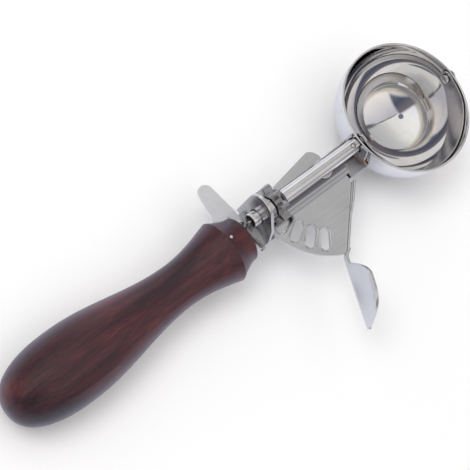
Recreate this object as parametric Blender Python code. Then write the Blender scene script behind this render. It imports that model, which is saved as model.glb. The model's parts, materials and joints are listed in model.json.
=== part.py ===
"""Ice cream scoop with a thumb lever, a star pinion, a turning scraper and a wooden handle.

Metres, +Z up. The rod turns about the X axis through the centre of the bowl, the bowl opens
towards +Z at the +X end, the lever lies on the -Y side and the finger rest on the +Y side.
"""
import math

import bmesh
import bpy
from mathutils import Matrix, Vector

# Clearances
FIT_GAP = 0.0003
RUNNING_GAP = 0.0003
BEARING_GAP = 0.00045

# Bowl and scraper
BOWL_RADIUS = 0.0255
BOWL_WALL = 0.0009
RIM_HEIGHT = 0.0025
BOWL_SEGMENTS = 56
BOWL_RINGS = 12
SCRAPER_THICKNESS = 0.0006
SCRAPER_WIDTH = 0.0090
SCRAPER_EYE_RADIUS = 0.0030
SCRAPER_FLARE = math.radians(28)
SCRAPER_REST_ANGLE = math.radians(15)
FAR_PIN_RADIUS = 0.0012
FAR_HEAD_RADIUS = 0.0024
FAR_HEAD_HEIGHT = 0.0014
INNER_HEAD_HEIGHT = 0.0006
HEAD_TAPER = 0.8

# Rod
ROD_RADIUS = 0.00265
ROD_WALL = 0.0006
ROD_REAR_OVERHANG = 0.0030
SHAFT_RADIUS = 0.0015
SHAFT_GRIP_LENGTH = 0.0110
ROD_PIN_RADIUS = 0.0007
ROD_PIN_SETBACK = 0.0026

# Lever pivot and sector
PIVOT_SETBACK = 0.0155
SECTOR_RADIUS = 0.0311
LEVER_THICKNESS = 0.0010
SLOT_COUNT = 5
SLOT_PITCH = math.radians(12)
FIRST_SLOT_ANGLE = math.radians(5)
SLOT_WIDTH = 0.0036
SLOT_LENGTH = 0.0082
SLOT_RIM = 0.0019
HEEL_X = 0.0077
HEEL_Y = 0.0055
HUB_X = 0.0046
HUB_Y = 0.0020
TONGUE_SETBACK = 0.0008
TONGUE_OFFSET = 0.0040
TONGUE_RADIUS = 0.0045
TONGUE_ROOT_LEAN = math.radians(14)
TONGUE_TURN = math.radians(82)
FLANGE_ROOT_X = 0.0082
FLANGE_ROOT_Y = 0.0103
FLANGE_TALL = 0.0034
FLANGE_LOW = 0.0018
FLANGE_TALL_SHARE = 0.3
FLANGE_LOW_SHARE = 0.5
LAST_SLOT_MARGIN = math.radians(16.2)
PAD_LENGTH = 0.0296
PAD_HEIGHT = 0.0154
PAD_NECK_HEIGHT = 0.0022
PAD_NECK_LENGTH = 0.0054
PAD_TIP_LIFT = 0.0018
PAD_RISE_SHARE = 0.35
PAD_FALL_SHARE = 0.48
PAD_RISE_POWER = 2.1
PAD_FALL_POWER = 2.4
PAD_TURN = math.radians(66)
PAD_DISH = 0.0016
PAD_OVERLAP = 0.0016
PAD_JOG = 0.0016
PAD_JOG_LENGTH = 0.0030
PAD_ROOT_SET = 0.0002
RIVET_RADIUS = 0.0016
RIVET_HEAD_RADIUS = 0.0036
RIVET_HEAD_HEIGHT = 0.00045
RIVET_TAIL_RADIUS = 0.0026
COUNTERSINK = 0.0006
TAIL_RECESS = 0.00005
WASHER_RADIUS = 0.0030
UPPER_WASHER_THICKNESS = 0.0006
LOWER_WASHER_THICKNESS = 0.0007

# Star pinion
LOBE_COUNT = 8
STAR_TIP_RADIUS = 0.0073
STAR_VALLEY_RADIUS = 0.0047
LOBE_ROUND = 0.00075
VALLEY_START = 0.33
STAR_THICKNESS = 0.0034
STAR_SETBACK = 0.0010
COLLAR_RADIUS = 0.0043
COLLAR_SIDES = 8

# Frame
HANDLE_AXIS_Y = -0.0025
SHEET = 0.0010
UPPER_STRIP_THICKNESS = 0.0009
UPPER_STRIP_REACH = 0.0065
UPPER_STRIP_BACK = 0.0031
UPPER_STRIP_WAIST = 0.0031
UPPER_STRIP_STEP = 0.0084
PLATE_LEFT_Y = 0.0048
ARCH_LEFT_Y = 0.0066
ARCH_RIGHT_Y = 0.0092
ARCH_SETBACK = 0.0017
ARCH_THICKNESS = 0.0012
ARCH_HEIGHT = 0.0107
ARCH_CROWN_RADIUS = 0.0054
ARCH_CROWN_TURN = math.radians(152)
ARCH_KNEE_Y = 0.0074
ARCH_KNEE_Z = 0.0017
ARCH_FOOT_DROP = 0.0052
BEARING_MARGIN = 0.0012
BEARING_EAR = 0.0072
BEARING_EAR_DROP = 0.0008
BEARING_EAR_ROUND = 0.0016
BEARING_CROWN_START = math.radians(22)
BEARING_CROWN_END = math.radians(190)
BEARING_SHOULDER = 0.0022
BRACKET_REACH = 0.0083
BRACKET_BACK = 0.0036
BRACKET_LENGTH = 0.0072
BRACKET_SHEET = 0.0010
SADDLE_THICKNESS = 0.0009
SADDLE_TOP = 0.0031
SADDLE_LEFT = 0.0039
SADDLE_LEFT_TOP = 0.0012
SADDLE_RIGHT = 0.0048
SADDLE_WAIST_Y = 0.0066
SADDLE_WAIST_DROP = 0.0038
SADDLE_INSET = 0.0002
TANG_LENGTH = 0.0360
TANG_WIDTH = 0.0080
TANG_ROOT_SHARE = 0.3

# Finger rest and spring
REST_SHEET = 0.0010
REST_REACH = 0.0106
REST_REAR_SHOULDER = 0.0004
REST_TIP_START = math.radians(12)
REST_ROOT_WIDTH = 0.0088
REST_CLAMP_WIDTH = 0.0031
REST_TIP_RADIUS = 0.0030
REST_SWEEP = 0.0046
REST_RIVET_RADIUS = 0.0007
REST_RIVET_HEAD = 0.0015
REST_RIVET_TAIL = 0.0010
REST_RIVET_Y = 0.0020
ANCHOR_RADIUS = 0.00045
ANCHOR_REACH = 0.0040
ANCHOR_BEND = 0.0012
ANCHOR_RUN = 0.0020
ANCHOR_HOOK = 0.0030
SPRING_WIRE = 0.0006
SPRING_TURNS = 14
SPRING_LENGTH = 0.0300

# Handle
HANDLE_LENGTH = 0.0994
HANDLE_DROOP = math.radians(2.65)
HANDLE_STANDOFF = 0.0052
NECK_RADIUS = 0.0086
NECK_LENGTH = 0.0014
RIDGE_RADIUS = 0.0117
RIDGE_STATION = 0.0088
FLARE_POWER = 1.4
NECK_EDGE = 0.0010
WAIST_RADIUS = 0.0081
WAIST_STATION = 0.0290
BELLY_RADIUS = 0.01355
BELLY_STATION = 0.0735
BUTT_EXPONENT = 2.4
HANDLE_SEGMENTS = 40
HANDLE_PIN_RADIUS = 0.0007
HANDLE_PIN_STATION = 0.0070
HANDLE_PIN_OFFSET = 0.0020

# Heights of the stacked sheets, measured from the rod's axis
RIVET_TOP = -(ROD_RADIUS + RUNNING_GAP)
STRIP_TOP = RIVET_TOP - RIVET_HEAD_HEIGHT - FIT_GAP
STRIP_BOTTOM = STRIP_TOP - UPPER_STRIP_THICKNESS
LEVER_TOP = STRIP_BOTTOM - UPPER_WASHER_THICKNESS - 2 * FIT_GAP
LEVER_BOTTOM = LEVER_TOP - LEVER_THICKNESS
PLATE_TOP = LEVER_BOTTOM - LOWER_WASHER_THICKNESS - 2 * FIT_GAP
PLATE_BOTTOM = PLATE_TOP - SHEET

# Places along the rod
PIVOT_X = -(BOWL_RADIUS + PIVOT_SETBACK)
BOWL_INSIDE = BOWL_RADIUS - BOWL_WALL
SADDLE_INNER = BOWL_RADIUS + FIT_GAP
SADDLE_OUTER = SADDLE_INNER + SADDLE_THICKNESS
ROD_FRONT_X = -(BOWL_RADIUS + 2 * RUNNING_GAP)
STRIP_FRONT_X = -(SADDLE_OUTER + 2 * FIT_GAP)
SLOT_CENTRE_RADIUS = SECTOR_RADIUS - SLOT_RIM - SLOT_LENGTH / 2
STAR_X = PIVOT_X - SLOT_CENTRE_RADIUS - STAR_SETBACK
STAR_REAR_X = STAR_X - STAR_THICKNESS / 2
STAR_FRONT_X = STAR_X + STAR_THICKNESS / 2
BEARING_REAR_X = STAR_FRONT_X + 2 * RUNNING_GAP
BEARING_FRONT_X = BEARING_REAR_X + SHEET
ARCH_FRONT_X = PIVOT_X - SECTOR_RADIUS - ARCH_SETBACK
ARCH_REAR_X = ARCH_FRONT_X - ARCH_THICKNESS
ROD_REAR_X = ARCH_REAR_X - ROD_REAR_OVERHANG
HANDLE_FACE_X = ARCH_REAR_X - HANDLE_STANDOFF
HANDLE_AXIS_Z = (PLATE_TOP + PLATE_BOTTOM) / 2
BRACKET_REAR_X = -(BOWL_RADIUS + BRACKET_LENGTH)
GEAR_RATIO = (2 * math.pi / LOBE_COUNT) / SLOT_PITCH

MERGE_DISTANCE = 0.000001
SMOOTH_ANGLE = math.radians(32)


def clear_scene():
    """Remove every object that the open file holds."""
    for obj in list(bpy.data.objects):
        bpy.data.objects.remove(obj, do_unlink=True)


def metal(name, colour, roughness):
    """Bare metal with the colour and roughness seen in the photograph."""
    return surface(name, colour, roughness, 1.0)


def surface(name, colour, roughness, metallic):
    """Plain Principled material."""
    material = bpy.data.materials.new(name)
    material.use_nodes = True
    shader = material.node_tree.nodes["Principled BSDF"]
    shader.inputs["Base Color"].default_value = (*colour, 1.0)
    shader.inputs["Roughness"].default_value = roughness
    shader.inputs["Metallic"].default_value = metallic
    material.diffuse_color = (*colour, 1.0)
    return material


def make_scoop_axis():
    """Empty on the rod's axis at the bowl's centre, with the bowl's lowest point on the table."""
    empty = bpy.data.objects.new("scoop_axis", None)
    empty.location = (0, 0, BOWL_RADIUS)
    bpy.context.scene.collection.objects.link(empty)
    return empty


def add_object(name, bm, axis, location=(0, 0, 0), rotation=(0, 0, 0), smooth=True):
    """Turn a bmesh into an object that hangs from the scoop's axis."""
    bmesh.ops.recalc_face_normals(bm, faces=bm.faces)
    mesh = bpy.data.meshes.new(name)
    bm.to_mesh(mesh)
    bm.free()
    if smooth:
        mesh.shade_smooth()
        mesh.set_sharp_from_angle(angle=SMOOTH_ANGLE)
    obj = bpy.data.objects.new(name, mesh)
    obj.parent = axis
    obj.location = location
    obj.rotation_euler = rotation
    bpy.context.scene.collection.objects.link(obj)
    return obj


def finish(obj, material):
    """Give a piece its own material."""
    obj.data.materials.append(material)
    return obj


def combine(target, tool, operation):
    """Cut a tool out of a piece, or join it on, and keep the tool out of the model."""
    tool.hide_render = True
    tool.display_type = "WIRE"
    modifier = target.modifiers.new(tool.name, "BOOLEAN")
    modifier.operation = operation
    modifier.solver = "EXACT"
    modifier.object = tool


def prism(outline, low, high, plane="XY"):
    """Flat outline pushed from low to high. In plane YZ the outline is (y, z) and low, high are x."""
    bm = bmesh.new()
    face = bm.faces.new([bm.verts.new((u, v, low)) for u, v in outline])
    pushed = bmesh.ops.extrude_face_region(bm, geom=[face])
    raised = [item for item in pushed["geom"] if isinstance(item, bmesh.types.BMVert)]
    bmesh.ops.translate(bm, verts=raised, vec=(0, 0, high - low))
    if plane == "YZ":
        bm.transform(Matrix(((0, 0, 1, 0), (1, 0, 0, 0), (0, 1, 0, 0), (0, 0, 0, 1))))
    return bm


def turned(profile, segments, axis="Z", hollow=False):
    """Spin (along, radius) points round an axis. A hollow profile closes on itself."""
    bm = bmesh.new()
    verts = [bm.verts.new((radius, 0, along)) for along, radius in profile]
    edges = [bm.edges.new(pair) for pair in zip(verts, verts[1:])]
    if hollow:
        edges.append(bm.edges.new((verts[-1], verts[0])))
    bmesh.ops.spin(
        bm, geom=verts + edges, cent=(0, 0, 0), axis=(0, 0, 1), angle=2 * math.pi, steps=segments
    )
    bmesh.ops.remove_doubles(bm, verts=bm.verts, dist=MERGE_DISTANCE)
    if axis == "X":
        bm.transform(Matrix.Rotation(math.pi / 2, 4, "Y"))
    return bm


def cylinder(radius, low, high, axis="Z", segments=24):
    """Plain closed cylinder between two places on an axis."""
    return turned([(low, 0), (low, radius), (high, radius), (high, 0)], segments, axis)


def ring(inner, outer, low, high, axis="Z", segments=32):
    """Closed ring between two places on an axis."""
    return turned([(low, inner), (low, outer), (high, outer), (high, inner)], segments, axis, True)


def loft(sections):
    """Closed solid through sections that have the same number of points."""
    bm = bmesh.new()
    rows = [[bm.verts.new(point) for point in section] for section in sections]
    count = len(rows[0])
    for row, following in zip(rows, rows[1:]):
        for index in range(count):
            after = (index + 1) % count
            bm.faces.new((row[index], row[after], following[after], following[index]))
    bm.faces.new(rows[0])
    bm.faces.new(rows[-1])
    return bm


def arc(centre, radius, start, end, steps):
    """Points on a circle in a plane, both ends included."""
    angles = [start + (end - start) * step / steps for step in range(steps + 1)]
    return [(centre[0] + radius * math.cos(a), centre[1] + radius * math.sin(a)) for a in angles]


def quarter(inner, outer, steps):
    """Pairs of sine and cosine from inner to outer angle, for round profiles."""
    angles = [inner + (outer - inner) * step / steps for step in range(steps + 1)]
    return [(math.sin(angle), math.cos(angle)) for angle in angles]


def make_bowl(axis):
    """Half sphere with a short straight rim, and a hole for each end of the scraper."""
    outside = [
        (-BOWL_RADIUS * cosine, BOWL_RADIUS * sine)
        for sine, cosine in quarter(0, math.pi / 2, BOWL_RINGS)
    ]
    inside = [
        (-BOWL_INSIDE * cosine, BOWL_INSIDE * sine)
        for sine, cosine in quarter(math.pi / 2, 0, BOWL_RINGS)
    ]
    lip = BOWL_WALL / 4
    rim = [
        (RIM_HEIGHT - lip, BOWL_RADIUS),
        (RIM_HEIGHT, BOWL_RADIUS - lip),
        (RIM_HEIGHT, BOWL_INSIDE + lip),
        (RIM_HEIGHT - lip, BOWL_INSIDE),
    ]
    bowl = add_object("bowl", turned(outside + rim + inside, BOWL_SEGMENTS), axis)
    far_hole = cylinder(FAR_PIN_RADIUS + FIT_GAP, BOWL_INSIDE / 2, 2 * BOWL_RADIUS, "X")
    near_hole = cylinder(SHAFT_RADIUS + RUNNING_GAP, -2 * BOWL_RADIUS, -BOWL_INSIDE / 2, "X")
    combine(bowl, add_object("far_hole_cutter", far_hole, axis), "DIFFERENCE")
    combine(bowl, add_object("near_hole_cutter", near_hole, axis), "DIFFERENCE")
    return finish(bowl, metal("bowl_polish", (0.80, 0.79, 0.80), 0.08))


def scraper_outer_radius():
    """Largest bend of a flat blade whose edges still clear the bowl."""
    reach = BOWL_INSIDE - RUNNING_GAP
    return math.sqrt(reach ** 2 - (SCRAPER_WIDTH / 2) ** 2)


def make_scraper(axis):
    """Half-ring blade with a round eye at each end, at rest just under the rim."""
    outer = scraper_outer_radius()
    inner = outer - SCRAPER_THICKNESS
    eye_steps = 5
    bend_steps = 26
    stations = []
    for step in range(eye_steps):
        drop = SCRAPER_EYE_RADIUS * math.cos(math.pi / 2 * step / eye_steps)
        half = math.sqrt(max(SCRAPER_EYE_RADIUS ** 2 - drop ** 2, (SCRAPER_EYE_RADIUS / 6) ** 2))
        stations.append(((1, 0), -drop, half))
    for step in range(bend_steps + 1):
        turn = math.pi * step / bend_steps
        nearest = min(turn, math.pi - turn)
        spread = min(nearest / SCRAPER_FLARE, 1)
        ease = (1 - math.cos(math.pi * spread)) / 2
        half = SCRAPER_EYE_RADIUS + (SCRAPER_WIDTH / 2 - SCRAPER_EYE_RADIUS) * ease
        stations.append(((math.cos(turn), math.sin(turn)), 0, half))
    for step in range(eye_steps - 1, -1, -1):
        drop = SCRAPER_EYE_RADIUS * math.cos(math.pi / 2 * step / eye_steps)
        half = math.sqrt(max(SCRAPER_EYE_RADIUS ** 2 - drop ** 2, (SCRAPER_EYE_RADIUS / 6) ** 2))
        stations.append(((-1, 0), -drop, half))
    down = Vector((0, -math.cos(SCRAPER_REST_ANGLE), -math.sin(SCRAPER_REST_ANGLE)))
    across = Vector((0, math.sin(SCRAPER_REST_ANGLE), -math.cos(SCRAPER_REST_ANGLE)))
    forward = Vector((1, 0, 0))
    sections = []
    for (along, deep), drop, half in stations:
        section = []
        for radius, side in ((outer, -half), (outer, half), (inner, half), (inner, -half)):
            section.append(forward * (along * radius) + down * (deep * radius + drop) + across * side)
        sections.append(section)
    scraper = add_object("scraper", loft(sections), axis)
    far_eye = cylinder(FAR_PIN_RADIUS + RUNNING_GAP, BOWL_INSIDE / 2, BOWL_RADIUS, "X")
    near_eye = cylinder(SHAFT_RADIUS + FIT_GAP, -BOWL_RADIUS, -BOWL_INSIDE / 2, "X")
    combine(scraper, add_object("far_eye_cutter", far_eye, axis), "DIFFERENCE")
    combine(scraper, add_object("near_eye_cutter", near_eye, axis), "DIFFERENCE")
    return finish(scraper, metal("scraper_steel", (0.72, 0.71, 0.72), 0.16))


def make_far_pivot_pin(axis):
    """Rivet through the bowl's far wall, with a domed head outside."""
    outside = BOWL_RADIUS + FIT_GAP
    inside = scraper_outer_radius() - SCRAPER_THICKNESS - RUNNING_GAP
    dome = [
        (outside + FAR_HEAD_HEIGHT * sine, FAR_HEAD_RADIUS * cosine)
        for sine, cosine in quarter(math.radians(20), math.pi / 2, 4)
    ]
    profile = [
        (inside - INNER_HEAD_HEIGHT, 0),
        (inside - INNER_HEAD_HEIGHT, FAR_HEAD_RADIUS * HEAD_TAPER),
        (inside, FAR_HEAD_RADIUS * HEAD_TAPER),
        (inside, FAR_PIN_RADIUS),
        (outside, FAR_PIN_RADIUS),
        (outside, FAR_HEAD_RADIUS),
    ]
    dome[-1] = (outside + FAR_HEAD_HEIGHT, 0)
    pin = add_object("far_pivot_pin", turned(profile + dome, 24, "X"), axis)
    return finish(pin, metal("far_pin_steel", (0.66, 0.65, 0.66), 0.25))


def make_rod_tube(axis):
    """Hollow rod, open at the handle end, with a cross hole near the bowl."""
    tube = ring(ROD_RADIUS - ROD_WALL, ROD_RADIUS, ROD_REAR_X, ROD_FRONT_X, "X")
    rod = add_object("rod_tube", tube, axis)
    hole = cylinder(ROD_PIN_RADIUS + FIT_GAP, -2 * ROD_RADIUS, 2 * ROD_RADIUS)
    place = (ROD_FRONT_X - ROD_PIN_SETBACK, 0, 0)
    combine(rod, add_object("rod_cross_hole_cutter", hole, axis, place), "DIFFERENCE")
    return finish(rod, metal("rod_steel", (0.74, 0.73, 0.75), 0.14))


def make_scraper_shaft(axis):
    """Shaft gripped in the rod, through the saddle and the bowl, with a head in the near eye."""
    grip_radius = ROD_RADIUS - ROD_WALL - FIT_GAP
    grip_rear = ROD_FRONT_X - SHAFT_GRIP_LENGTH
    eye = -(scraper_outer_radius() - SCRAPER_THICKNESS - FIT_GAP)
    profile = [
        (grip_rear, 0),
        (grip_rear, grip_radius),
        (ROD_FRONT_X, grip_radius),
        (ROD_FRONT_X, SHAFT_RADIUS),
        (eye, SHAFT_RADIUS),
        (eye, FAR_HEAD_RADIUS),
        (eye + INNER_HEAD_HEIGHT / 2, FAR_HEAD_RADIUS),
        (eye + INNER_HEAD_HEIGHT, FAR_HEAD_RADIUS * HEAD_TAPER),
        (eye + INNER_HEAD_HEIGHT, 0),
    ]
    shaft = add_object("scraper_shaft", turned(profile, 24, "X"), axis)
    hole = cylinder(ROD_PIN_RADIUS + FIT_GAP, -2 * ROD_RADIUS, 2 * ROD_RADIUS)
    place = (ROD_FRONT_X - ROD_PIN_SETBACK, 0, 0)
    combine(shaft, add_object("shaft_cross_hole_cutter", hole, axis, place), "DIFFERENCE")
    return finish(shaft, metal("shaft_steel", (0.70, 0.69, 0.70), 0.22))


def make_rod_pin(axis):
    """Cross pin through the rod and the shaft."""
    half = ROD_RADIUS + ROD_WALL / 4
    pin = cylinder(ROD_PIN_RADIUS, -half, half, segments=16)
    place = (ROD_FRONT_X - ROD_PIN_SETBACK, 0, 0)
    return finish(add_object("rod_pin", pin, axis, place), metal("rod_pin_steel", (0.60, 0.59, 0.60), 0.30))


def star_outline():
    """Eight round-tipped lobes with hollow flanks, set so that the first slot is in mesh."""
    step = 2 * math.pi / LOBE_COUNT
    first = -math.pi / 2 - FIRST_SLOT_ANGLE * GEAR_RATIO
    tip_centre = STAR_TIP_RADIUS - LOBE_ROUND
    points = []
    for lobe in range(LOBE_COUNT):
        middle = first + lobe * step
        centre = (tip_centre * math.cos(middle), tip_centre * math.sin(middle))
        points += arc(centre, LOBE_ROUND, middle - math.pi / 2, middle + math.pi / 2, 4)
        valley = (middle + step * VALLEY_START, middle + step * (1 - VALLEY_START))
        points += arc((0, 0), STAR_VALLEY_RADIUS, *valley, 3)
    return points


def make_star_pinion(axis):
    """Star wheel on the rod, whose lobes enter the lever's slots."""
    wheel = prism(star_outline(), STAR_REAR_X, STAR_FRONT_X, "YZ")
    star = add_object("star_pinion", wheel, axis, smooth=False)
    bore = cylinder(ROD_RADIUS + FIT_GAP, 2 * STAR_REAR_X, 0, "X", 32)
    combine(star, add_object("star_bore_cutter", bore, axis), "DIFFERENCE")
    return finish(star, metal("star_steel", (0.62, 0.61, 0.60), 0.28))


def make_pinion_collar(axis):
    """Eight-sided spacer sleeve on the rod between the star and the arch."""
    first = math.pi / COLLAR_SIDES
    sides = arc((0, 0), COLLAR_RADIUS, first, first + 2 * math.pi, COLLAR_SIDES)
    rear = ARCH_FRONT_X + RUNNING_GAP
    front = STAR_REAR_X - FIT_GAP
    collar = add_object("pinion_collar", prism(sides[:-1], rear, front, "YZ"), axis, smooth=False)
    bore = cylinder(ROD_RADIUS + FIT_GAP, rear - SHEET, front + SHEET, "X", 32)
    combine(collar, add_object("collar_bore_cutter", bore, axis), "DIFFERENCE")
    return finish(collar, metal("collar_steel", (0.70, 0.69, 0.69), 0.2))


def make_return_spring(axis):
    """Wire spring inside the rod, from the shaft's end to the anchor's tip."""
    mean_radius = ROD_RADIUS - ROD_WALL - FIT_GAP - SPRING_WIRE / 2
    front = ROD_FRONT_X - SHAFT_GRIP_LENGTH - FIT_GAP
    rear = front - SPRING_LENGTH
    points_per_turn = 9
    pitch = (SPRING_LENGTH - 2 * SPRING_WIRE) / SPRING_TURNS
    points = [Vector((front, mean_radius, 0))]
    for step in range(SPRING_TURNS * points_per_turn + 1):
        turn = 2 * math.pi * step / points_per_turn
        along = front - SPRING_WIRE - pitch * step / points_per_turn
        points.append(Vector((along, mean_radius * math.cos(turn), mean_radius * math.sin(turn))))
    points.append(Vector((rear, mean_radius, 0)))
    least = least_gap(points, points_per_turn) - SPRING_WIRE
    print(f"return_spring least gap to itself {least * 1000:.2f} mm")
    curve = bpy.data.curves.new("return_spring", "CURVE")
    curve.dimensions = "3D"
    curve.bevel_depth = SPRING_WIRE / 2
    curve.bevel_resolution = 1
    curve.use_fill_caps = True
    spline = curve.splines.new("POLY")
    spline.points.add(len(points) - 1)
    for target, point in zip(spline.points, points):
        target.co = (*point, 1)
    spring = bpy.data.objects.new("return_spring", curve)
    spring.parent = axis
    bpy.context.scene.collection.objects.link(spring)
    return finish(spring, metal("spring_steel", (0.55, 0.54, 0.54), 0.30))


def least_gap(points, skip):
    """Least distance between centre-line points that are at least three quarters of a turn apart."""
    apart = int(skip * 0.75)
    return min(
        (first - second).length
        for index, first in enumerate(points)
        for second in points[index + apart:]
    )


def flange_line():
    """Inner and outer ends of the folded edge of the sector, seen from the pivot."""
    end_angle = FIRST_SLOT_ANGLE + (SLOT_COUNT - 1) * SLOT_PITCH + LAST_SLOT_MARGIN
    outer = Vector((-SECTOR_RADIUS * math.cos(end_angle), -SECTOR_RADIUS * math.sin(end_angle)))
    inner = Vector((FLANGE_ROOT_X, -FLANGE_ROOT_Y))
    return inner, outer


def sector_outline():
    """Sector plate seen from above, with the pivot at the origin and one edge inside the folded sheet."""
    inner, outer = flange_line()
    heading = (outer - inner).normalized()
    inset = Vector((heading.y, -heading.x)) * LEVER_THICKNESS / 2
    inner += inset
    outer += inset
    slot_edge = math.asin(SLOT_WIDTH / 2 / SLOT_CENTRE_RADIUS)
    start = math.pi - (SLOT_PITCH - FIRST_SLOT_ANGLE - slot_edge)
    end = math.atan2(outer.y, outer.x) + 2 * math.pi
    shoulder = SLOT_CENTRE_RADIUS - SLOT_LENGTH / 2
    tongue_root = (-shoulder * math.cos(TONGUE_ROOT_LEAN), shoulder * math.sin(TONGUE_ROOT_LEAN))
    points = arc((0, 0), SECTOR_RADIUS, start, end, 22)
    points.append((inner.x, inner.y))
    points.append((HEEL_X, -HEEL_Y))
    points.append((HUB_X, -HUB_Y))
    points += arc((-TONGUE_SETBACK, TONGUE_OFFSET), TONGUE_RADIUS, 0, TONGUE_TURN, 6)
    points.append(tongue_root)
    points.append((shoulder * math.cos(start), shoulder * math.sin(start)))
    return points


def stadium(length, width, steps=6):
    """Slot shape along X, centred on the origin."""
    half = (length - width) / 2
    right = arc((half, 0), width / 2, -math.pi / 2, math.pi / 2, steps)
    left = arc((-half, 0), width / 2, math.pi / 2, 3 * math.pi / 2, steps)
    return right + left


def make_slot_cutter(axis, place):
    """All of the slots as one cutter, spaced evenly round the pivot."""
    cutter = bmesh.new()
    for index in range(SLOT_COUNT):
        angle = math.pi + FIRST_SLOT_ANGLE + index * SLOT_PITCH
        slot = prism(stadium(SLOT_LENGTH, SLOT_WIDTH), LEVER_BOTTOM - SHEET, LEVER_TOP + SHEET)
        slot.transform(Matrix.Translation((SLOT_CENTRE_RADIUS, 0, 0)))
        slot.transform(Matrix.Rotation(angle, 4, "Z"))
        bmesh.ops.recalc_face_normals(slot, faces=slot.faces)
        piece = bpy.data.meshes.new("slot")
        slot.to_mesh(piece)
        slot.free()
        cutter.from_mesh(piece)
        bpy.data.meshes.remove(piece)
    return add_object("slot_cutter", cutter, axis, place)


def upright_sheet(start, heading, profile, thickness):
    """Upright sheet on a line, lying to its left: profile holds (along, low, high, bow, shift)."""
    left = Vector((-heading.y, heading.x))
    sections = []
    for along, low, high, bow, shift in profile:
        section = []
        for share, offset in ((0, shift), (0.5, bow + shift), (1, shift)):
            base = start + heading * along + left * offset
            section.append(Vector((base.x, base.y, low + (high - low) * share)))
        outer = shift + thickness
        for share, offset in ((1, outer), (0.5, outer + bow), (0, outer)):
            base = start + heading * along + left * offset
            section.append(Vector((base.x, base.y, low + (high - low) * share)))
        sections.append(section)
    return loft(sections)


def pad_profile():
    """Leaf shape of the thumb pad: a narrow neck, a quick shoulder, a broad top and a narrow tip."""
    stations = 16
    jog_stations = 4
    profile = []
    for step in range(jog_stations + 1):
        along = PAD_JOG_LENGTH * step / jog_stations
        shift = -PAD_JOG * (1 - math.cos(math.pi * step / jog_stations)) / 2
        low = PAD_TIP_LIFT * (along / PAD_LENGTH) ** 2
        profile.append((along, LEVER_BOTTOM + low, LEVER_BOTTOM + PAD_NECK_HEIGHT, 0, shift))
    for step in range(stations + 1):
        run = step / stations
        along = PAD_NECK_LENGTH + (PAD_LENGTH - PAD_NECK_LENGTH) * run
        low = PAD_TIP_LIFT * (along / PAD_LENGTH) ** 2
        rise = 1 - (1 - min(run / PAD_RISE_SHARE, 1)) ** PAD_RISE_POWER
        fall = 1 - (max(run - PAD_FALL_SHARE, 0) / (1 - PAD_FALL_SHARE)) ** PAD_FALL_POWER
        crest = PAD_TIP_LIFT + (PAD_HEIGHT - PAD_TIP_LIFT) * fall
        high = PAD_NECK_HEIGHT + (crest - PAD_NECK_HEIGHT) * rise
        high = max(high, low + PAD_NECK_HEIGHT / 2)
        bow = PAD_DISH * math.sin(math.pi * run) * ((high - low) / PAD_HEIGHT) ** 2
        profile.append((along, LEVER_BOTTOM + low, LEVER_BOTTOM + high, bow, -PAD_JOG))
    return profile


def make_lever(axis):
    """Sector plate with slots, folded edge and leaf-shaped thumb pad, bent from one sheet."""
    place = (PIVOT_X, 0, 0)
    inner, outer = flange_line()
    heading = (outer - inner).normalized()
    run = (outer - inner).length
    plate = prism(sector_outline(), LEVER_BOTTOM, LEVER_TOP)
    lever = add_object("lever", plate, axis, place, smooth=False)
    flange_profile = [
        (0, LEVER_BOTTOM, LEVER_BOTTOM + FLANGE_TALL, 0, 0),
        (run * FLANGE_TALL_SHARE, LEVER_BOTTOM, LEVER_BOTTOM + FLANGE_TALL, 0, 0),
        (run * FLANGE_LOW_SHARE, LEVER_BOTTOM, LEVER_BOTTOM + FLANGE_LOW, 0, 0),
        (run, LEVER_BOTTOM, LEVER_BOTTOM + FLANGE_LOW, 0, 0),
    ]
    flange = upright_sheet(inner, heading, flange_profile, -LEVER_THICKNESS)
    combine(lever, add_object("flange_tool", flange, axis, place), "UNION")
    pad_heading = Vector((-math.cos(PAD_TURN), -math.sin(PAD_TURN)))
    pad_start = outer - heading * PAD_OVERLAP - pad_heading * PAD_ROOT_SET
    pad = upright_sheet(pad_start, pad_heading, pad_profile(), -LEVER_THICKNESS)
    combine(lever, add_object("pad_tool", pad, axis, place), "UNION")
    combine(lever, make_slot_cutter(axis, place), "DIFFERENCE")
    hole = cylinder(RIVET_RADIUS + RUNNING_GAP, LEVER_BOTTOM - SHEET, LEVER_TOP + SHEET)
    combine(lever, add_object("lever_hole_cutter", hole, axis, place), "DIFFERENCE")
    return finish(lever, metal("lever_steel", (0.66, 0.66, 0.66), 0.35))


def sunk_hole(radius, tail):
    """Cutter for a hole through the frame plate, opened out below for a flush rivet tail."""
    profile = [
        (PLATE_BOTTOM - SHEET, 0),
        (PLATE_BOTTOM - SHEET, tail + FIT_GAP),
        (PLATE_BOTTOM, tail + FIT_GAP),
        (PLATE_BOTTOM + COUNTERSINK, radius + FIT_GAP),
        (PLATE_TOP + SHEET, radius + FIT_GAP),
        (PLATE_TOP + SHEET, 0),
    ]
    return turned(profile, 24)


def sunk_tail(radius, tail):
    """Lower end of a rivet whose tail lies flush in the frame plate."""
    return [
        (PLATE_BOTTOM + TAIL_RECESS, 0),
        (PLATE_BOTTOM + TAIL_RECESS, tail),
        (PLATE_BOTTOM + COUNTERSINK, radius),
    ]


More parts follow.
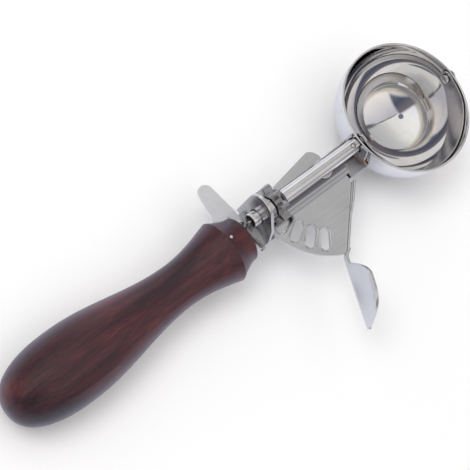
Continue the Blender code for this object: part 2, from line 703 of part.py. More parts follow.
def make_lever_rivet(axis):
    """Pivot rivet through both strips, with a low head under the rod and a flush tail."""
    profile = sunk_tail(RIVET_RADIUS, RIVET_TAIL_RADIUS) + [
        (STRIP_TOP + FIT_GAP, RIVET_RADIUS),
        (STRIP_TOP + FIT_GAP, RIVET_HEAD_RADIUS),
        (STRIP_TOP + FIT_GAP + RIVET_HEAD_HEIGHT / 2, RIVET_HEAD_RADIUS),
        (RIVET_TOP, RIVET_HEAD_RADIUS * HEAD_TAPER),
        (RIVET_TOP, 0),
    ]
    rivet = add_object("lever_rivet", turned(profile, 32), axis, (PIVOT_X, 0, 0))
    return finish(rivet, metal("rivet_steel", (0.68, 0.67, 0.67), 0.22))


def make_washers(axis):
    """Spacers over and under the lever, on the rivet."""
    bore = RIVET_RADIUS + RUNNING_GAP
    upper = ring(bore, WASHER_RADIUS, LEVER_TOP + FIT_GAP, STRIP_BOTTOM - FIT_GAP)
    lower = ring(bore, WASHER_RADIUS, PLATE_TOP + FIT_GAP, LEVER_BOTTOM - FIT_GAP)
    for name, washer in (("upper_washer", upper), ("lower_washer", lower)):
        spacer = add_object(name, washer, axis, (PIVOT_X, 0, 0))
        finish(spacer, metal(name + "_brass", (0.60, 0.50, 0.32), 0.35))


def make_upper_strip(axis):
    """Strip under the rod whose rear end turns up into a bearing plate with a side ear."""
    step_x = PIVOT_X + UPPER_STRIP_STEP
    outline = [
        (BEARING_REAR_X, -UPPER_STRIP_REACH),
        (step_x, -UPPER_STRIP_REACH),
        (step_x, -UPPER_STRIP_WAIST),
        (STRIP_FRONT_X, -UPPER_STRIP_WAIST),
        (STRIP_FRONT_X, UPPER_STRIP_BACK),
        (BEARING_REAR_X, UPPER_STRIP_BACK),
    ]
    strip = add_object("upper_strip", prism(outline, STRIP_BOTTOM, STRIP_TOP), axis, smooth=False)
    plate = prism(bearing_outline(), BEARING_REAR_X, BEARING_FRONT_X, "YZ")
    combine(strip, add_object("bearing_plate_tool", plate, axis), "UNION")
    bore = cylinder(ROD_RADIUS + BEARING_GAP, BEARING_REAR_X - SHEET, BEARING_FRONT_X + SHEET, "X", 32)
    combine(strip, add_object("bearing_bore_cutter", bore, axis), "DIFFERENCE")
    hole = cylinder(RIVET_RADIUS + FIT_GAP, STRIP_BOTTOM - SHEET, STRIP_TOP + SHEET)
    combine(strip, add_object("strip_hole_cutter", hole, axis, (PIVOT_X, 0, 0)), "DIFFERENCE")
    return finish(strip, metal("upper_strip_steel", (0.58, 0.57, 0.58), 0.22))


def bearing_outline():
    """Upturned plate round the rod, with an ear on the far side."""
    ear = (BEARING_EAR - BEARING_EAR_ROUND, -BEARING_EAR_DROP)
    crown = ROD_RADIUS + BEARING_GAP + BEARING_MARGIN
    points = [(-UPPER_STRIP_REACH, STRIP_BOTTOM), (BEARING_EAR, STRIP_BOTTOM)]
    points += arc(ear, BEARING_EAR_ROUND, 0, math.pi / 2, 4)
    points += arc((0, 0), crown, BEARING_CROWN_START, BEARING_CROWN_END, 14)
    points.append((-UPPER_STRIP_REACH, -BEARING_SHOULDER))
    return points


def arch_outline():
    """Arch round the rod's rear end: upright on the far side, sloping on the lever side."""
    crown = (ARCH_LEFT_Y - ARCH_CROWN_RADIUS, ARCH_HEIGHT - ARCH_CROWN_RADIUS)
    points = [(-ARCH_RIGHT_Y, PLATE_BOTTOM), (ARCH_LEFT_Y, PLATE_BOTTOM)]
    points += arc(crown, ARCH_CROWN_RADIUS, 0, ARCH_CROWN_TURN, 8)
    points.append((-ARCH_KNEE_Y, ARCH_KNEE_Z))
    points.append((-ARCH_RIGHT_Y, -ARCH_FOOT_DROP))
    return points


def dome(radius, top):
    """Solid with the bowl's outer form at another radius, straight from the rod's height to the top."""
    profile = [
        (-radius * cosine, radius * sine)
        for sine, cosine in quarter(0, math.pi / 2, 24)
    ]
    return turned(profile + [(top, radius), (top, 0)], 64)


def make_frame_plate(axis):
    """Lower strip with the arch at its rear, and the tang that enters the handle."""
    front_x = -BOWL_RADIUS / 2
    rear_x = HANDLE_FACE_X + FIT_GAP
    outline = [
        (rear_x, -ARCH_RIGHT_Y),
        (ARCH_FRONT_X, -ARCH_RIGHT_Y),
        (BRACKET_REAR_X, -BRACKET_REACH),
        (front_x, -BRACKET_REACH),
        (front_x, BRACKET_BACK),
        (BRACKET_REAR_X, BRACKET_BACK),
        (ARCH_FRONT_X, PLATE_LEFT_Y),
        (rear_x, PLATE_LEFT_Y),
    ]
    plate = add_object("frame_plate", prism(outline, PLATE_BOTTOM, PLATE_TOP), axis, smooth=False)
    arch = prism(arch_outline(), ARCH_REAR_X, ARCH_FRONT_X, "YZ")
    combine(plate, add_object("arch_tool", arch, axis), "UNION")
    half = TANG_WIDTH / 2
    root = HANDLE_STANDOFF * TANG_ROOT_SHARE
    tang_outline = [
        (-TANG_LENGTH, -half),
        (root, -half),
        (root, half),
        (-TANG_LENGTH, half),
    ]
    tang = prism(tang_outline, -SHEET / 2, SHEET / 2)
    tang_tool = add_object("tang_tool", tang, axis, handle_place(), (0, -HANDLE_DROOP, 0))
    combine(plate, tang_tool, "UNION")
    combine(plate, add_object("plate_bowl_cutter", dome(SADDLE_INNER, BOWL_RADIUS), axis), "DIFFERENCE")
    bore = cylinder(ROD_RADIUS + BEARING_GAP, ARCH_REAR_X - SHEET, ARCH_FRONT_X + SHEET, "X", 32)
    combine(plate, add_object("arch_bore_cutter", bore, axis), "DIFFERENCE")
    hole = sunk_hole(RIVET_RADIUS, RIVET_TAIL_RADIUS)
    combine(plate, add_object("plate_hole_cutter", hole, axis, (PIVOT_X, 0, 0)), "DIFFERENCE")
    rest_hole = sunk_hole(REST_RIVET_RADIUS, REST_RIVET_TAIL)
    combine(plate, add_object("plate_rest_hole_cutter", rest_hole, axis, rest_rivet_place()), "DIFFERENCE")
    pin_hole = cylinder(HANDLE_PIN_RADIUS + FIT_GAP, -2 * SHEET, 2 * SHEET, segments=16)
    combine(plate, handle_pin_tool("tang_pin_hole_cutter", pin_hole, axis), "DIFFERENCE")
    return finish(plate, metal("frame_plate_steel", (0.60, 0.59, 0.61), 0.28))


def make_bowl_bracket(axis):
    """Folded channel between the strips, ending in a saddle that hugs the bowl."""
    front_x = -BOWL_RADIUS / 2
    top = STRIP_BOTTOM - FIT_GAP
    bottom = PLATE_TOP + FIT_GAP
    outer = [
        (BRACKET_REAR_X, -BRACKET_REACH),
        (front_x, -BRACKET_REACH),
        (front_x, BRACKET_BACK),
        (BRACKET_REAR_X, BRACKET_BACK),
    ]
    bracket = add_object("bowl_bracket", prism(outer, bottom, top), axis, smooth=False)
    channel = [
        (2 * BRACKET_REAR_X, -BRACKET_REACH + BRACKET_SHEET),
        (front_x + SHEET, -BRACKET_REACH + BRACKET_SHEET),
        (front_x + SHEET, BRACKET_BACK - BRACKET_SHEET),
        (2 * BRACKET_REAR_X, BRACKET_BACK - BRACKET_SHEET),
    ]
    hollow = prism(channel, bottom - SHEET, top - BRACKET_SHEET)
    combine(bracket, add_object("bracket_channel_cutter", hollow, axis), "DIFFERENCE")
    saddle = prism(saddle_outline(bottom, top), BRACKET_REAR_X, front_x, "YZ")
    saddle_tool = add_object("saddle_tool", saddle, axis)
    limit = dome(SADDLE_OUTER, BOWL_RADIUS)
    combine(saddle_tool, add_object("saddle_limit", limit, axis), "INTERSECT")
    combine(bracket, saddle_tool, "UNION")
    room = dome(SADDLE_INNER, BOWL_RADIUS)
    combine(bracket, add_object("bracket_bowl_cutter", room, axis), "DIFFERENCE")
    bore = cylinder(ROD_RADIUS + BEARING_GAP, -2 * BOWL_RADIUS, 0, "X", 32)
    combine(bracket, add_object("saddle_bore_cutter", bore, axis), "DIFFERENCE")
    return finish(bracket, metal("bracket_steel", (0.60, 0.57, 0.54), 0.30))


def saddle_outline(bottom, fold):
    """Saddle seen along the rod: low on the far side, flared at the fold on the lever side."""
    right = SADDLE_INSET - BRACKET_REACH
    return [
        (right, bottom),
        (SADDLE_LEFT, bottom),
        (SADDLE_LEFT, SADDLE_LEFT_TOP),
        (0, SADDLE_LEFT_TOP),
        (-SADDLE_RIGHT / 2, SADDLE_TOP),
        (-SADDLE_RIGHT, SADDLE_TOP),
        (-SADDLE_WAIST_Y, -SADDLE_WAIST_DROP),
        (right, fold),
    ]


def rest_rivet_place():
    """Rivet of the finger rest, in the middle of its root under the rod's open end."""
    return (HANDLE_FACE_X + FIT_GAP + REST_CLAMP_WIDTH / 2, REST_RIVET_Y, 0)


def rest_outline():
    """Finger rest seen from above: a root across the frame and a swept-back round tongue."""
    rear_x = HANDLE_FACE_X + FIT_GAP
    front_x = rear_x + REST_CLAMP_WIDTH
    tip = (front_x - REST_SWEEP, ARCH_LEFT_Y + REST_REACH)
    points = [(rear_x, -ARCH_RIGHT_Y), (front_x, -ARCH_RIGHT_Y), (front_x, ARCH_LEFT_Y)]
    points += arc(tip, REST_TIP_RADIUS, REST_TIP_START, math.pi - REST_TIP_START, 8)
    points.append((front_x - REST_ROOT_WIDTH, ARCH_LEFT_Y + REST_REAR_SHOULDER))
    points.append((front_x - REST_ROOT_WIDTH, 0))
    points.append((rear_x, 0))
    return points


def make_finger_rest(axis):
    """Flat tongue clamped on the frame plate in front of the handle."""
    low = PLATE_TOP + FIT_GAP
    rest = add_object("finger_rest", prism(rest_outline(), low, low + REST_SHEET), axis, smooth=False)
    combine(rest, handle_tool("rest_handle_cutter", handle_body(FIT_GAP), axis), "DIFFERENCE")
    rivet_hole = cylinder(REST_RIVET_RADIUS + FIT_GAP, low - SHEET, low + 2 * SHEET, segments=16)
    combine(rest, add_object("rest_rivet_cutter", rivet_hole, axis, rest_rivet_place()), "DIFFERENCE")
    return finish(rest, metal("finger_rest_steel", (0.74, 0.73, 0.79), 0.30))


def make_finger_rest_rivet(axis):
    """Small rivet that holds the finger rest on the frame plate."""
    top = PLATE_TOP + FIT_GAP + REST_SHEET + FIT_GAP
    profile = sunk_tail(REST_RIVET_RADIUS, REST_RIVET_TAIL) + [
        (top, REST_RIVET_RADIUS),
        (top, REST_RIVET_HEAD),
        (top + SHEET / 2, REST_RIVET_HEAD * HEAD_TAPER),
        (top + SHEET / 2, 0),
    ]
    rivet = add_object("finger_rest_rivet", turned(profile, 20), axis, rest_rivet_place())
    return finish(rivet, metal("rest_rivet_steel", (0.64, 0.63, 0.64), 0.30))


def rounded_path(corners, radius, steps):
    """Line through the corners in which each inner corner is a round bend."""
    path = [corners[0]]
    for before, corner, after in zip(corners, corners[1:], corners[2:]):
        back = (before - corner).normalized()
        ahead = (after - corner).normalized()
        start = corner + back * radius
        end = corner + ahead * radius
        for step in range(steps + 1):
            share = step / steps
            path.append(start.lerp(corner, share).lerp(corner.lerp(end, share), share))
    path.append(corners[-1])
    return path


def wire(path, radius, sides):
    """Round wire along a path, with flat ends."""
    headings = []
    for index in range(len(path)):
        before = path[max(index - 1, 0)]
        after = path[min(index + 1, len(path) - 1)]
        headings.append((after - before).normalized())
    side = headings[0].orthogonal().normalized()
    sections = []
    for point, heading in zip(path, headings):
        side = (side - heading * side.dot(heading)).normalized()
        other = heading.cross(side)
        angles = [2 * math.pi * number / sides for number in range(sides)]
        sections.append([point + (side * math.cos(a) + other * math.sin(a)) * radius for a in angles])
    return loft(sections)


def anchor_path():
    """Wire from inside the rod's open end, down to the finger rest and over the plate's edge."""
    post_x = ROD_REAR_X - RUNNING_GAP - ANCHOR_RADIUS
    rest_z = PLATE_TOP + FIT_GAP + REST_SHEET + FIT_GAP + ANCHOR_RADIUS
    edge_y = -(ARCH_RIGHT_Y + FIT_GAP + ANCHOR_RADIUS)
    corners = [
        Vector((ROD_REAR_X + ANCHOR_REACH, 0, 0)),
        Vector((post_x, 0, 0)),
        Vector((post_x, -ANCHOR_BEND, rest_z)),
        Vector((post_x + ANCHOR_RUN, edge_y, rest_z)),
        Vector((post_x + ANCHOR_RUN, edge_y, rest_z - ANCHOR_HOOK)),
    ]
    return rounded_path(corners, ANCHOR_BEND, 4)


def make_spring_anchor(axis):
    """Bent wire that holds the spring's end and hooks over the frame plate's edge."""
    anchor = add_object("spring_anchor", wire(anchor_path(), ANCHOR_RADIUS, 10), axis)
    return finish(anchor, metal("anchor_steel", (0.62, 0.61, 0.58), 0.25))


def handle_place():
    """Centre of the handle's front face."""
    return (HANDLE_FACE_X, HANDLE_AXIS_Y, HANDLE_AXIS_Z)


def handle_tool(name, bm, axis, station=0, offset=0):
    """Object that follows the handle's droop, at a station along it and an offset across it."""
    shift = Vector((station * math.cos(HANDLE_DROOP), offset, station * math.sin(HANDLE_DROOP)))
    place = Vector(handle_place()) + shift
    return add_object(name, bm, axis, place, (0, -HANDLE_DROOP, 0))


def handle_pin_tool(name, bm, axis):
    """Object on the cross pin's own axis."""
    return handle_tool(name, bm, axis, -HANDLE_PIN_STATION, HANDLE_PIN_OFFSET)


def handle_profile(grow):
    """Half outline of the turned handle as (along, radius), front face first."""
    soft = NECK_EDGE * (1 - math.sqrt(0.5))
    points = [(grow, 0), (grow, NECK_RADIUS - NECK_EDGE + grow), (-soft, NECK_RADIUS - soft + grow)]
    points.append((-NECK_LENGTH, NECK_RADIUS + grow))
    flare_steps = 6
    for step in range(1, flare_steps + 1):
        share = step / flare_steps
        station = NECK_LENGTH + (RIDGE_STATION - NECK_LENGTH) * share
        radius = NECK_RADIUS + (RIDGE_RADIUS - NECK_RADIUS) * share ** FLARE_POWER
        points.append((-station, radius + grow))
    waist_steps = 8
    for step in range(1, waist_steps + 1):
        share = step / waist_steps
        station = RIDGE_STATION + (WAIST_STATION - RIDGE_STATION) * share
        radius = WAIST_RADIUS + (RIDGE_RADIUS - WAIST_RADIUS) * (1 - math.sin(math.pi / 2 * share))
        points.append((-station, radius + grow))
    belly_steps = 10
    for step in range(1, belly_steps + 1):
        share = step / belly_steps
        station = WAIST_STATION + (BELLY_STATION - WAIST_STATION) * share
        radius = WAIST_RADIUS + (BELLY_RADIUS - WAIST_RADIUS) * (1 - math.cos(math.pi * share)) / 2
        points.append((-station, radius + grow))
    butt_steps = 10
    butt_length = HANDLE_LENGTH - BELLY_STATION
    for step in range(1, butt_steps + 1):
        share = math.sin(math.pi / 2 * step / butt_steps)
        station = BELLY_STATION + butt_length * share
        radius = BELLY_RADIUS * (1 - share ** BUTT_EXPONENT) ** (1 / BUTT_EXPONENT)
        points.append((-station, 0 if step == butt_steps else radius + grow))
    return points


def handle_body(grow):
    """Turned handle, or with a positive grow the space that its neighbours leave free."""
    return turned(handle_profile(grow), HANDLE_SEGMENTS, "X")


def make_handle(axis):
    """Turned wooden handle with a slot for the tang and a hole for the cross pin."""
    handle = handle_tool("handle", handle_body(0), axis)
    half = TANG_WIDTH / 2 + FIT_GAP
    deep = TANG_LENGTH + FIT_GAP
    slot_outline = [(-deep, -half), (SHEET, -half), (SHEET, half), (-deep, half)]
    slot = prism(slot_outline, -SHEET / 2 - FIT_GAP, SHEET / 2 + FIT_GAP)
    combine(handle, handle_tool("tang_slot_cutter", slot, axis), "DIFFERENCE")
    hole = cylinder(HANDLE_PIN_RADIUS + FIT_GAP, -2 * RIDGE_RADIUS, 2 * RIDGE_RADIUS, segments=16)
    combine(handle, handle_pin_tool("handle_pin_hole_cutter", hole, axis), "DIFFERENCE")
    return finish(handle, surface("handle_wood", (0.13, 0.035, 0.025), 0.38, 0.0))


def make_handle_pin(axis):
    """Steel cross pin through the wood and the tang."""
    share = (HANDLE_PIN_STATION - NECK_LENGTH) / (RIDGE_STATION - NECK_LENGTH)
    surface_radius = NECK_RADIUS + (RIDGE_RADIUS - NECK_RADIUS) * share ** FLARE_POWER
    half = math.sqrt(surface_radius ** 2 - HANDLE_PIN_OFFSET ** 2) - HANDLE_PIN_RADIUS / 3
    pin = cylinder(HANDLE_PIN_RADIUS, -half, half, segments=16)
    obj = handle_pin_tool("handle_pin", pin, axis)
    return finish(obj, metal("handle_pin_steel", (0.80, 0.79, 0.76), 0.25))


def build():
    """Model every piece of the scoop."""
    clear_scene()
    axis = make_scoop_axis()
    make_bowl(axis)
    make_bowl_bracket(axis)
    make_frame_plate(axis)
    make_upper_strip(axis)
    make_lever_rivet(axis)
    make_washers(axis)
    make_finger_rest(axis)
    make_finger_rest_rivet(axis)
    make_spring_anchor(axis)
    make_handle(axis)
    make_handle_pin(axis)
    make_far_pivot_pin(axis)
    make_rod_tube(axis)
    make_star_pinion(axis)
    make_pinion_collar(axis)
    make_scraper_shaft(axis)
    make_rod_pin(axis)
    make_scraper(axis)
    make_return_spring(axis)
    make_lever(axis)


build()
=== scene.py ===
import json
import math

import bmesh
import bpy
from mathutils import Matrix, Vector


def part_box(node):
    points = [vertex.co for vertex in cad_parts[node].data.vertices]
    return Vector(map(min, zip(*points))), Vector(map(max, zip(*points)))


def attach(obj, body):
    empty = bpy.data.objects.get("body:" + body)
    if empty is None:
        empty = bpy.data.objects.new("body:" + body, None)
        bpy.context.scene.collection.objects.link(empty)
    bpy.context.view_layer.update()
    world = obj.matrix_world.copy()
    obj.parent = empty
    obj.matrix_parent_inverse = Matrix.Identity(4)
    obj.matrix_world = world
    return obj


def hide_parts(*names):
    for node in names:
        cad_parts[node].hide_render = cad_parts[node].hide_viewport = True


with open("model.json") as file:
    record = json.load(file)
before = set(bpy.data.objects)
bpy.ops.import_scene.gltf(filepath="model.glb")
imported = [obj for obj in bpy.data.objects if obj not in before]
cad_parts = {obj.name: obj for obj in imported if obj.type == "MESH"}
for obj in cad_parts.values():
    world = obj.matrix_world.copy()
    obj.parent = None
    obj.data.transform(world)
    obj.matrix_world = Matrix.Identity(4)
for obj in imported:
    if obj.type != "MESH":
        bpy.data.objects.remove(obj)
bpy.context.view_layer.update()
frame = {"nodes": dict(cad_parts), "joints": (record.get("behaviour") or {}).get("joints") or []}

# Camera, fitted to the photograph
CAMERA_PLACE = Vector((-0.2591, -0.0211, 0.3878))
CAMERA_RIGHT = Vector((0.728, -0.6094, 0.3141))
CAMERA_BACK = Vector((-0.4313, -0.0509, 0.9008))
CAMERA_LENS = 91.9
CAMERA_SENSOR = 36

# Fits, thicknesses and finenesses
GAP = 0.0003
BEARING_GAP = 0.00045
SHEET = 0.0010
MERGE_DISTANCE = 0.0000005
SMOOTH_ANGLE = 32
SHARP_ANGLE = 50
FINE_SIDES = 96
BOWL_SIDES = 224

# Places read from the frame
JOINTS = {joint["name"]: joint for joint in frame["joints"]}
AXIS_Z = JOINTS["rod_hinge"]["pos_m"][2]
AXIS = (0, 0, AXIS_Z)
PIVOT_X = JOINTS["lever_hinge"]["pos_m"][0]
PIVOT = (PIVOT_X, 0, 0)
BOWL_LOW, BOWL_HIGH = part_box("bowl")
BOWL_RADIUS = (BOWL_HIGH.x - BOWL_LOW.x) / 2
RIM_HEIGHT = BOWL_HIGH.z - AXIS_Z
BOWL_WALL = 0.0009
BOWL_INSIDE = BOWL_RADIUS - BOWL_WALL
ROD_LOW, ROD_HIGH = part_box("rod_tube")
ROD_RADIUS = (ROD_HIGH.y - ROD_LOW.y) / 2
ROD_WALL = 0.0006
ROD_PIN_RADIUS = 0.0007
STAR_LOW, STAR_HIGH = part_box("star_pinion")
COLLAR_LOW, COLLAR_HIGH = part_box("pinion_collar")
LEVER_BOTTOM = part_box("lever")[0].z
LEVER_TOP = LEVER_BOTTOM + SHEET
STRIP_LOW, STRIP_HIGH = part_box("upper_strip")
STRIP_TOP = STRIP_LOW.z + 0.0009
PLATE_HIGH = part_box("frame_plate")[1]
PLATE_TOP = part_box("finger_rest")[0].z - GAP
PLATE_BOTTOM = PLATE_TOP - SHEET
BRACKET_REAR_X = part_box("bowl_bracket")[0].x


def plan_middle(node):
    """Middle of a CAD node seen from above, at height 0."""
    low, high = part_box(node)
    return ((low.x + high.x) / 2, (low.y + high.y) / 2, 0)


def clean_scene():
    """Unused start-up objects are left out of the picture."""
    for name in ("Cube", "Light", "Camera"):
        extra = bpy.data.objects.get(name)
        if extra is not None:
            bpy.data.objects.remove(extra, do_unlink=True)


# Node trees

MIX_COLOUR_A, MIX_COLOUR_B, MIX_COLOUR_RESULT = 6, 7, 2


class Graph:
    """Node tree, with short calls for the nodes that this script uses."""

    def __init__(self, tree):
        self.nodes = tree.nodes
        self.links = tree.links

    def set(self, node, inputs):
        """Link a node's inputs to sockets, or give them values."""
        for key, value in inputs.items():
            if isinstance(value, bpy.types.NodeSocket):
                self.links.new(value, node.inputs[key])
            else:
                node.inputs[key].default_value = value

    def add(self, kind, inputs=None, **settings):
        """New node with its settings and inputs."""
        node = self.nodes.new(kind)
        for name, value in settings.items():
            setattr(node, name, value)
        self.set(node, inputs or {})
        return node

    def math(self, operation, first, second=0.0):
        """Result of a Math node."""
        return self.add("ShaderNodeMath", {0: first, 1: second}, operation=operation).outputs["Value"]

    def product(self, factors):
        """Product of several values."""
        result = factors[0]
        for factor in factors[1:]:
            result = self.math("MULTIPLY", result, factor)
        return result

    def dot(self, direction, weights):
        """Sum of a direction's three parts, each times its weight."""
        node = self.add("ShaderNodeVectorMath", {0: direction, 1: weights}, operation="DOT_PRODUCT")
        return node.outputs["Value"]

    def parts(self, vector):
        """The three parts of a vector."""
        return self.add("ShaderNodeSeparateXYZ", {"Vector": vector}).outputs

    def half_and_half(self, value):
        """Value from -1..1 moved to 0..1."""
        return self.math("MULTIPLY", self.math("ADD", value, 1.0), 0.5)

    def remap(self, value, low, high):
        """Value from 0..1 spread over low..high."""
        inputs = {"Value": value, "To Min": low, "To Max": high}
        return self.add("ShaderNodeMapRange", inputs).outputs["Result"]

    def share(self, value, low, high, rise="LINEAR"):
        """0 at the low value and 1 at the high one."""
        inputs = {"Value": value, "From Min": low, "From Max": high}
        return self.add("ShaderNodeMapRange", inputs, interpolation_type=rise).outputs["Result"]

    def smooth(self, value, low, high):
        """0 at the low value and 1 at the high one, with a soft rise between them."""
        return self.share(value, low, high, "SMOOTHSTEP")

    def blend(self, factor, first, second):
        """Mix of two values, where the factor is the second one's share."""
        inputs = {"Factor": factor, "A": first, "B": second}
        return self.add("ShaderNodeMix", inputs, data_type="FLOAT").outputs["Result"]

    def paint(self, below, factor, colour):
        """Colour laid over another where the factor is 1."""
        inputs = {"Factor": factor}
        for key, value in ((MIX_COLOUR_A, below), (MIX_COLOUR_B, colour)):
            inputs[key] = (*value, 1) if isinstance(value, tuple) else value
        return self.add("ShaderNodeMix", inputs, data_type="RGBA").outputs[MIX_COLOUR_RESULT]

    def ramp(self, factor, stops):
        """Colour ramp with the given places and colours."""
        node = self.add("ShaderNodeValToRGB", {"Fac": factor})
        elements = node.color_ramp.elements
        while len(elements) < len(stops):
            elements.new(0.5)
        for element, (place, colour) in zip(elements, stops):
            element.position = place
            element.color = (*colour, 1.0)
        return node.outputs["Color"]

    def pattern(self, scale=(1, 1, 1), turn=(0, 0, 0), place=(0, 0, 0)):
        """Object coordinates, moved, turned and stretched for a pattern."""
        source = self.add("ShaderNodeTexCoord").outputs["Object"]
        inputs = {"Vector": source, "Location": place, "Rotation": turn, "Scale": scale}
        return self.add("ShaderNodeMapping", inputs).outputs["Vector"]

    def noise(self, vector, scale, detail, roughness, distortion=0.0):
        """Noise texture read at a vector."""
        inputs = {"Vector": vector, "Scale": scale, "Detail": detail}
        inputs.update({"Roughness": roughness, "Distortion": distortion})
        return self.add("ShaderNodeTexNoise", inputs).outputs["Fac"]

    def bump(self, height, strength, distance):
        """Normal of a surface with this height on it."""
        inputs = {"Height": height, "Strength": strength, "Distance": distance}
        return self.add("ShaderNodeBump", inputs).outputs["Normal"]


# Materials

def new_material(name):
    """Material, its graph and its Principled shader."""
    material = bpy.data.materials.new(name)
    material.use_nodes = True
    graph = Graph(material.node_tree)
    return material, graph, graph.nodes["Principled BSDF"]


def new_metal(name, graph_of):
    """Metal whose colour, roughness and normal come from a function of its graph."""
    material, graph, shader = new_material(name)
    colour, roughness, normal = graph_of(graph)
    graph.set(shader, {"Metallic": 1.0, "Base Color": colour, "Roughness": roughness, "Normal": normal})
    return material


def steel(name, dark, light, roughness, grain):
    """Steel with fine lines along one direction and cloudy handling marks."""
    def surface(graph):
        lines = graph.noise(graph.pattern(grain), 1.0, 6.0, 0.65)
        clouds = graph.noise(graph.pattern(), 90.0, 3.0, 0.5)
        mixed = graph.blend(0.45, lines, clouds)
        colour = graph.ramp(mixed, [(0.3, dark), (0.7, light)])
        return colour, graph.remap(mixed, *roughness), graph.bump(lines, 0.05, 0.00003)
    return new_metal(name, surface)


def mirror_polish(graph):
    """Mirror polish with faint rings left by the polishing wheel and a few soft smears."""
    height = graph.parts(graph.pattern(place=(0, 0, -AXIS_Z)))["Z"]
    level = graph.add("ShaderNodeCombineXYZ", {"X": height}).outputs["Vector"]
    rings = graph.noise(level, 9000.0, 5.0, 0.7)
    smears = graph.noise(graph.pattern(), 70.0, 4.0, 0.6, 0.8)
    colour = graph.ramp(smears, [(0.25, (0.70, 0.69, 0.69)), (0.75, (0.86, 0.85, 0.85))])
    return colour, graph.remap(smears, 0.02, 0.06), graph.bump(rings, 0.02, 0.00002)


HEAT_LOW, HEAT_HIGH, HEAT_SWAY = 0.0007, 0.0040, 0.0012
# By height: grey at the fold, a brown heat line, then a dark band of painted shade that is still brownish from
# the heat, then plain grey.
HEAT_AND_SHADE_COLOURS = (
    (0.06, (0.50, 0.49, 0.50)),
    (0.16, (0.52, 0.28, 0.14)),
    (0.30, (0.32, 0.22, 0.17)),
    (0.42, (0.36, 0.34, 0.34)),
    (0.70, (0.56, 0.55, 0.56)),
)


def heat_tint_and_painted_shade(graph):
    """Sheet steel with the straw and brown colours of welding heat and a band of painted shade above them,
    which change with height.
    """
    vector = graph.pattern(place=(0, 0, -AXIS_Z))
    height = graph.math("SUBTRACT", graph.parts(vector)["Z"], STRIP_LOW.z - GAP - AXIS_Z)
    waver = graph.noise(vector, 260.0, 3.0, 0.6)
    sway = graph.add("ShaderNodeMath", {0: waver, 1: HEAT_SWAY, 2: height}, operation="MULTIPLY_ADD")
    # The ramp paints the heat colours and, above the brown line, a band of painted shade.
    colour = graph.ramp(graph.share(sway.outputs["Value"], HEAT_LOW, HEAT_HIGH), HEAT_AND_SHADE_COLOURS)
    return colour, graph.remap(waver, 0.22, 0.42), graph.bump(waver, 0.08, 0.00005)


# Painted shade and a painted reflection of the rod on the strip beside the rod, then a painted highlight line,
# then the strip's lighter edge.
SHADE_END_Y = 0.0065
SHADE_BLUR = 0.0003
SHADE_COLOURS = (
    (0.05, (0.16, 0.155, 0.17)),
    (0.36, (0.26, 0.255, 0.28)),
    (0.50, (0.66, 0.65, 0.67)),
    (0.62, (0.42, 0.41, 0.43)),
    (0.85, (0.60, 0.59, 0.61)),
)


def shaded_strip(graph):
    """Rolled strip with painted shade and a painted reflection of the rod beside the rod, a painted highlight
    line past them, and lighter towards its edge.
    """
    lines = graph.noise(graph.pattern((60, 2200, 2200)), 1.0, 6.0, 0.65)
    across = graph.math("ABSOLUTE", graph.parts(graph.pattern())["Y"])
    blurred = graph.math("ADD", across, graph.remap(lines, -SHADE_BLUR, SHADE_BLUR))
    # The ramp paints shade and the rod's reflection beside the rod, and a highlight line past them.
    colour = graph.ramp(graph.share(blurred, ROD_RADIUS, SHADE_END_Y), SHADE_COLOURS)
    return colour, graph.remap(lines, 0.10, 0.22), graph.bump(lines, 0.05, 0.00003)


def dull_brass(graph):
    """Plain turned brass, slightly dulled."""
    patches = graph.noise(graph.pattern(), 400.0, 4.0, 0.6)
    colour = graph.ramp(patches, [(0.3, (0.42, 0.32, 0.17)), (0.7, (0.66, 0.54, 0.32))])
    return colour, graph.remap(patches, 0.28, 0.48), graph.bump(patches, 0.06, 0.00003)


def varnished_wood(name, droop):
    """Dark red-brown hardwood: long streaks, fine pores along the grain and a satin varnish."""
    material, graph, shader = new_material(name)
    turn = (0, droop, 0)
    streaks = graph.noise(graph.pattern((20, 230, 230), turn), 1.0, 8.0, 0.68, 0.9)
    fibres = graph.noise(graph.pattern((45, 1300, 1300), turn), 1.0, 4.0, 0.7, 0.4)
    clouds = graph.noise(graph.pattern((22, 48, 48), turn, (0.3, 0.1, 0)), 1.0, 3.0, 0.5)
    figure = graph.blend(0.40, graph.blend(0.35, streaks, fibres), clouds)
    stops = [
        (0.34, (0.006, 0.003, 0.007)),
        (0.44, (0.022, 0.007, 0.012)),
        (0.52, (0.054, 0.013, 0.018)),
        (0.64, (0.140, 0.031, 0.026)),
    ]
    graph.set(shader, {
        "Base Color": graph.ramp(figure, stops),
        "Roughness": graph.remap(fibres, 0.30, 0.52),
        "Normal": graph.bump(fibres, 0.16, 0.00006),
        "Specular IOR Level": 0.36,
        "Coat Weight": 0.22,
        "Coat Roughness": 0.24,
        "Sheen Weight": 0.22,
        "Sheen Roughness": 0.45,
        "Sheen Tint": (0.55, 0.60, 0.95, 1.0),
    })
    return material


# Mesh helpers

def link(name, mesh):
    """Object at the origin that holds a mesh."""
    piece = bpy.data.objects.new(name, mesh)
    bpy.context.scene.collection.objects.link(piece)
    return piece


def clean_into(mesh, bm):
    """Merge doubled points, turn the faces outwards and keep the result in a mesh."""
    bmesh.ops.remove_doubles(bm, verts=bm.verts, dist=MERGE_DISTANCE)
    bmesh.ops.recalc_face_normals(bm, faces=bm.faces)
    bm.to_mesh(mesh)
    bm.free()


def from_bmesh(name, bm):
    """Object from a bmesh with its faces turned outwards."""
    mesh = bpy.data.meshes.new(name)
    clean_into(mesh, bm)
    return link(name, mesh)


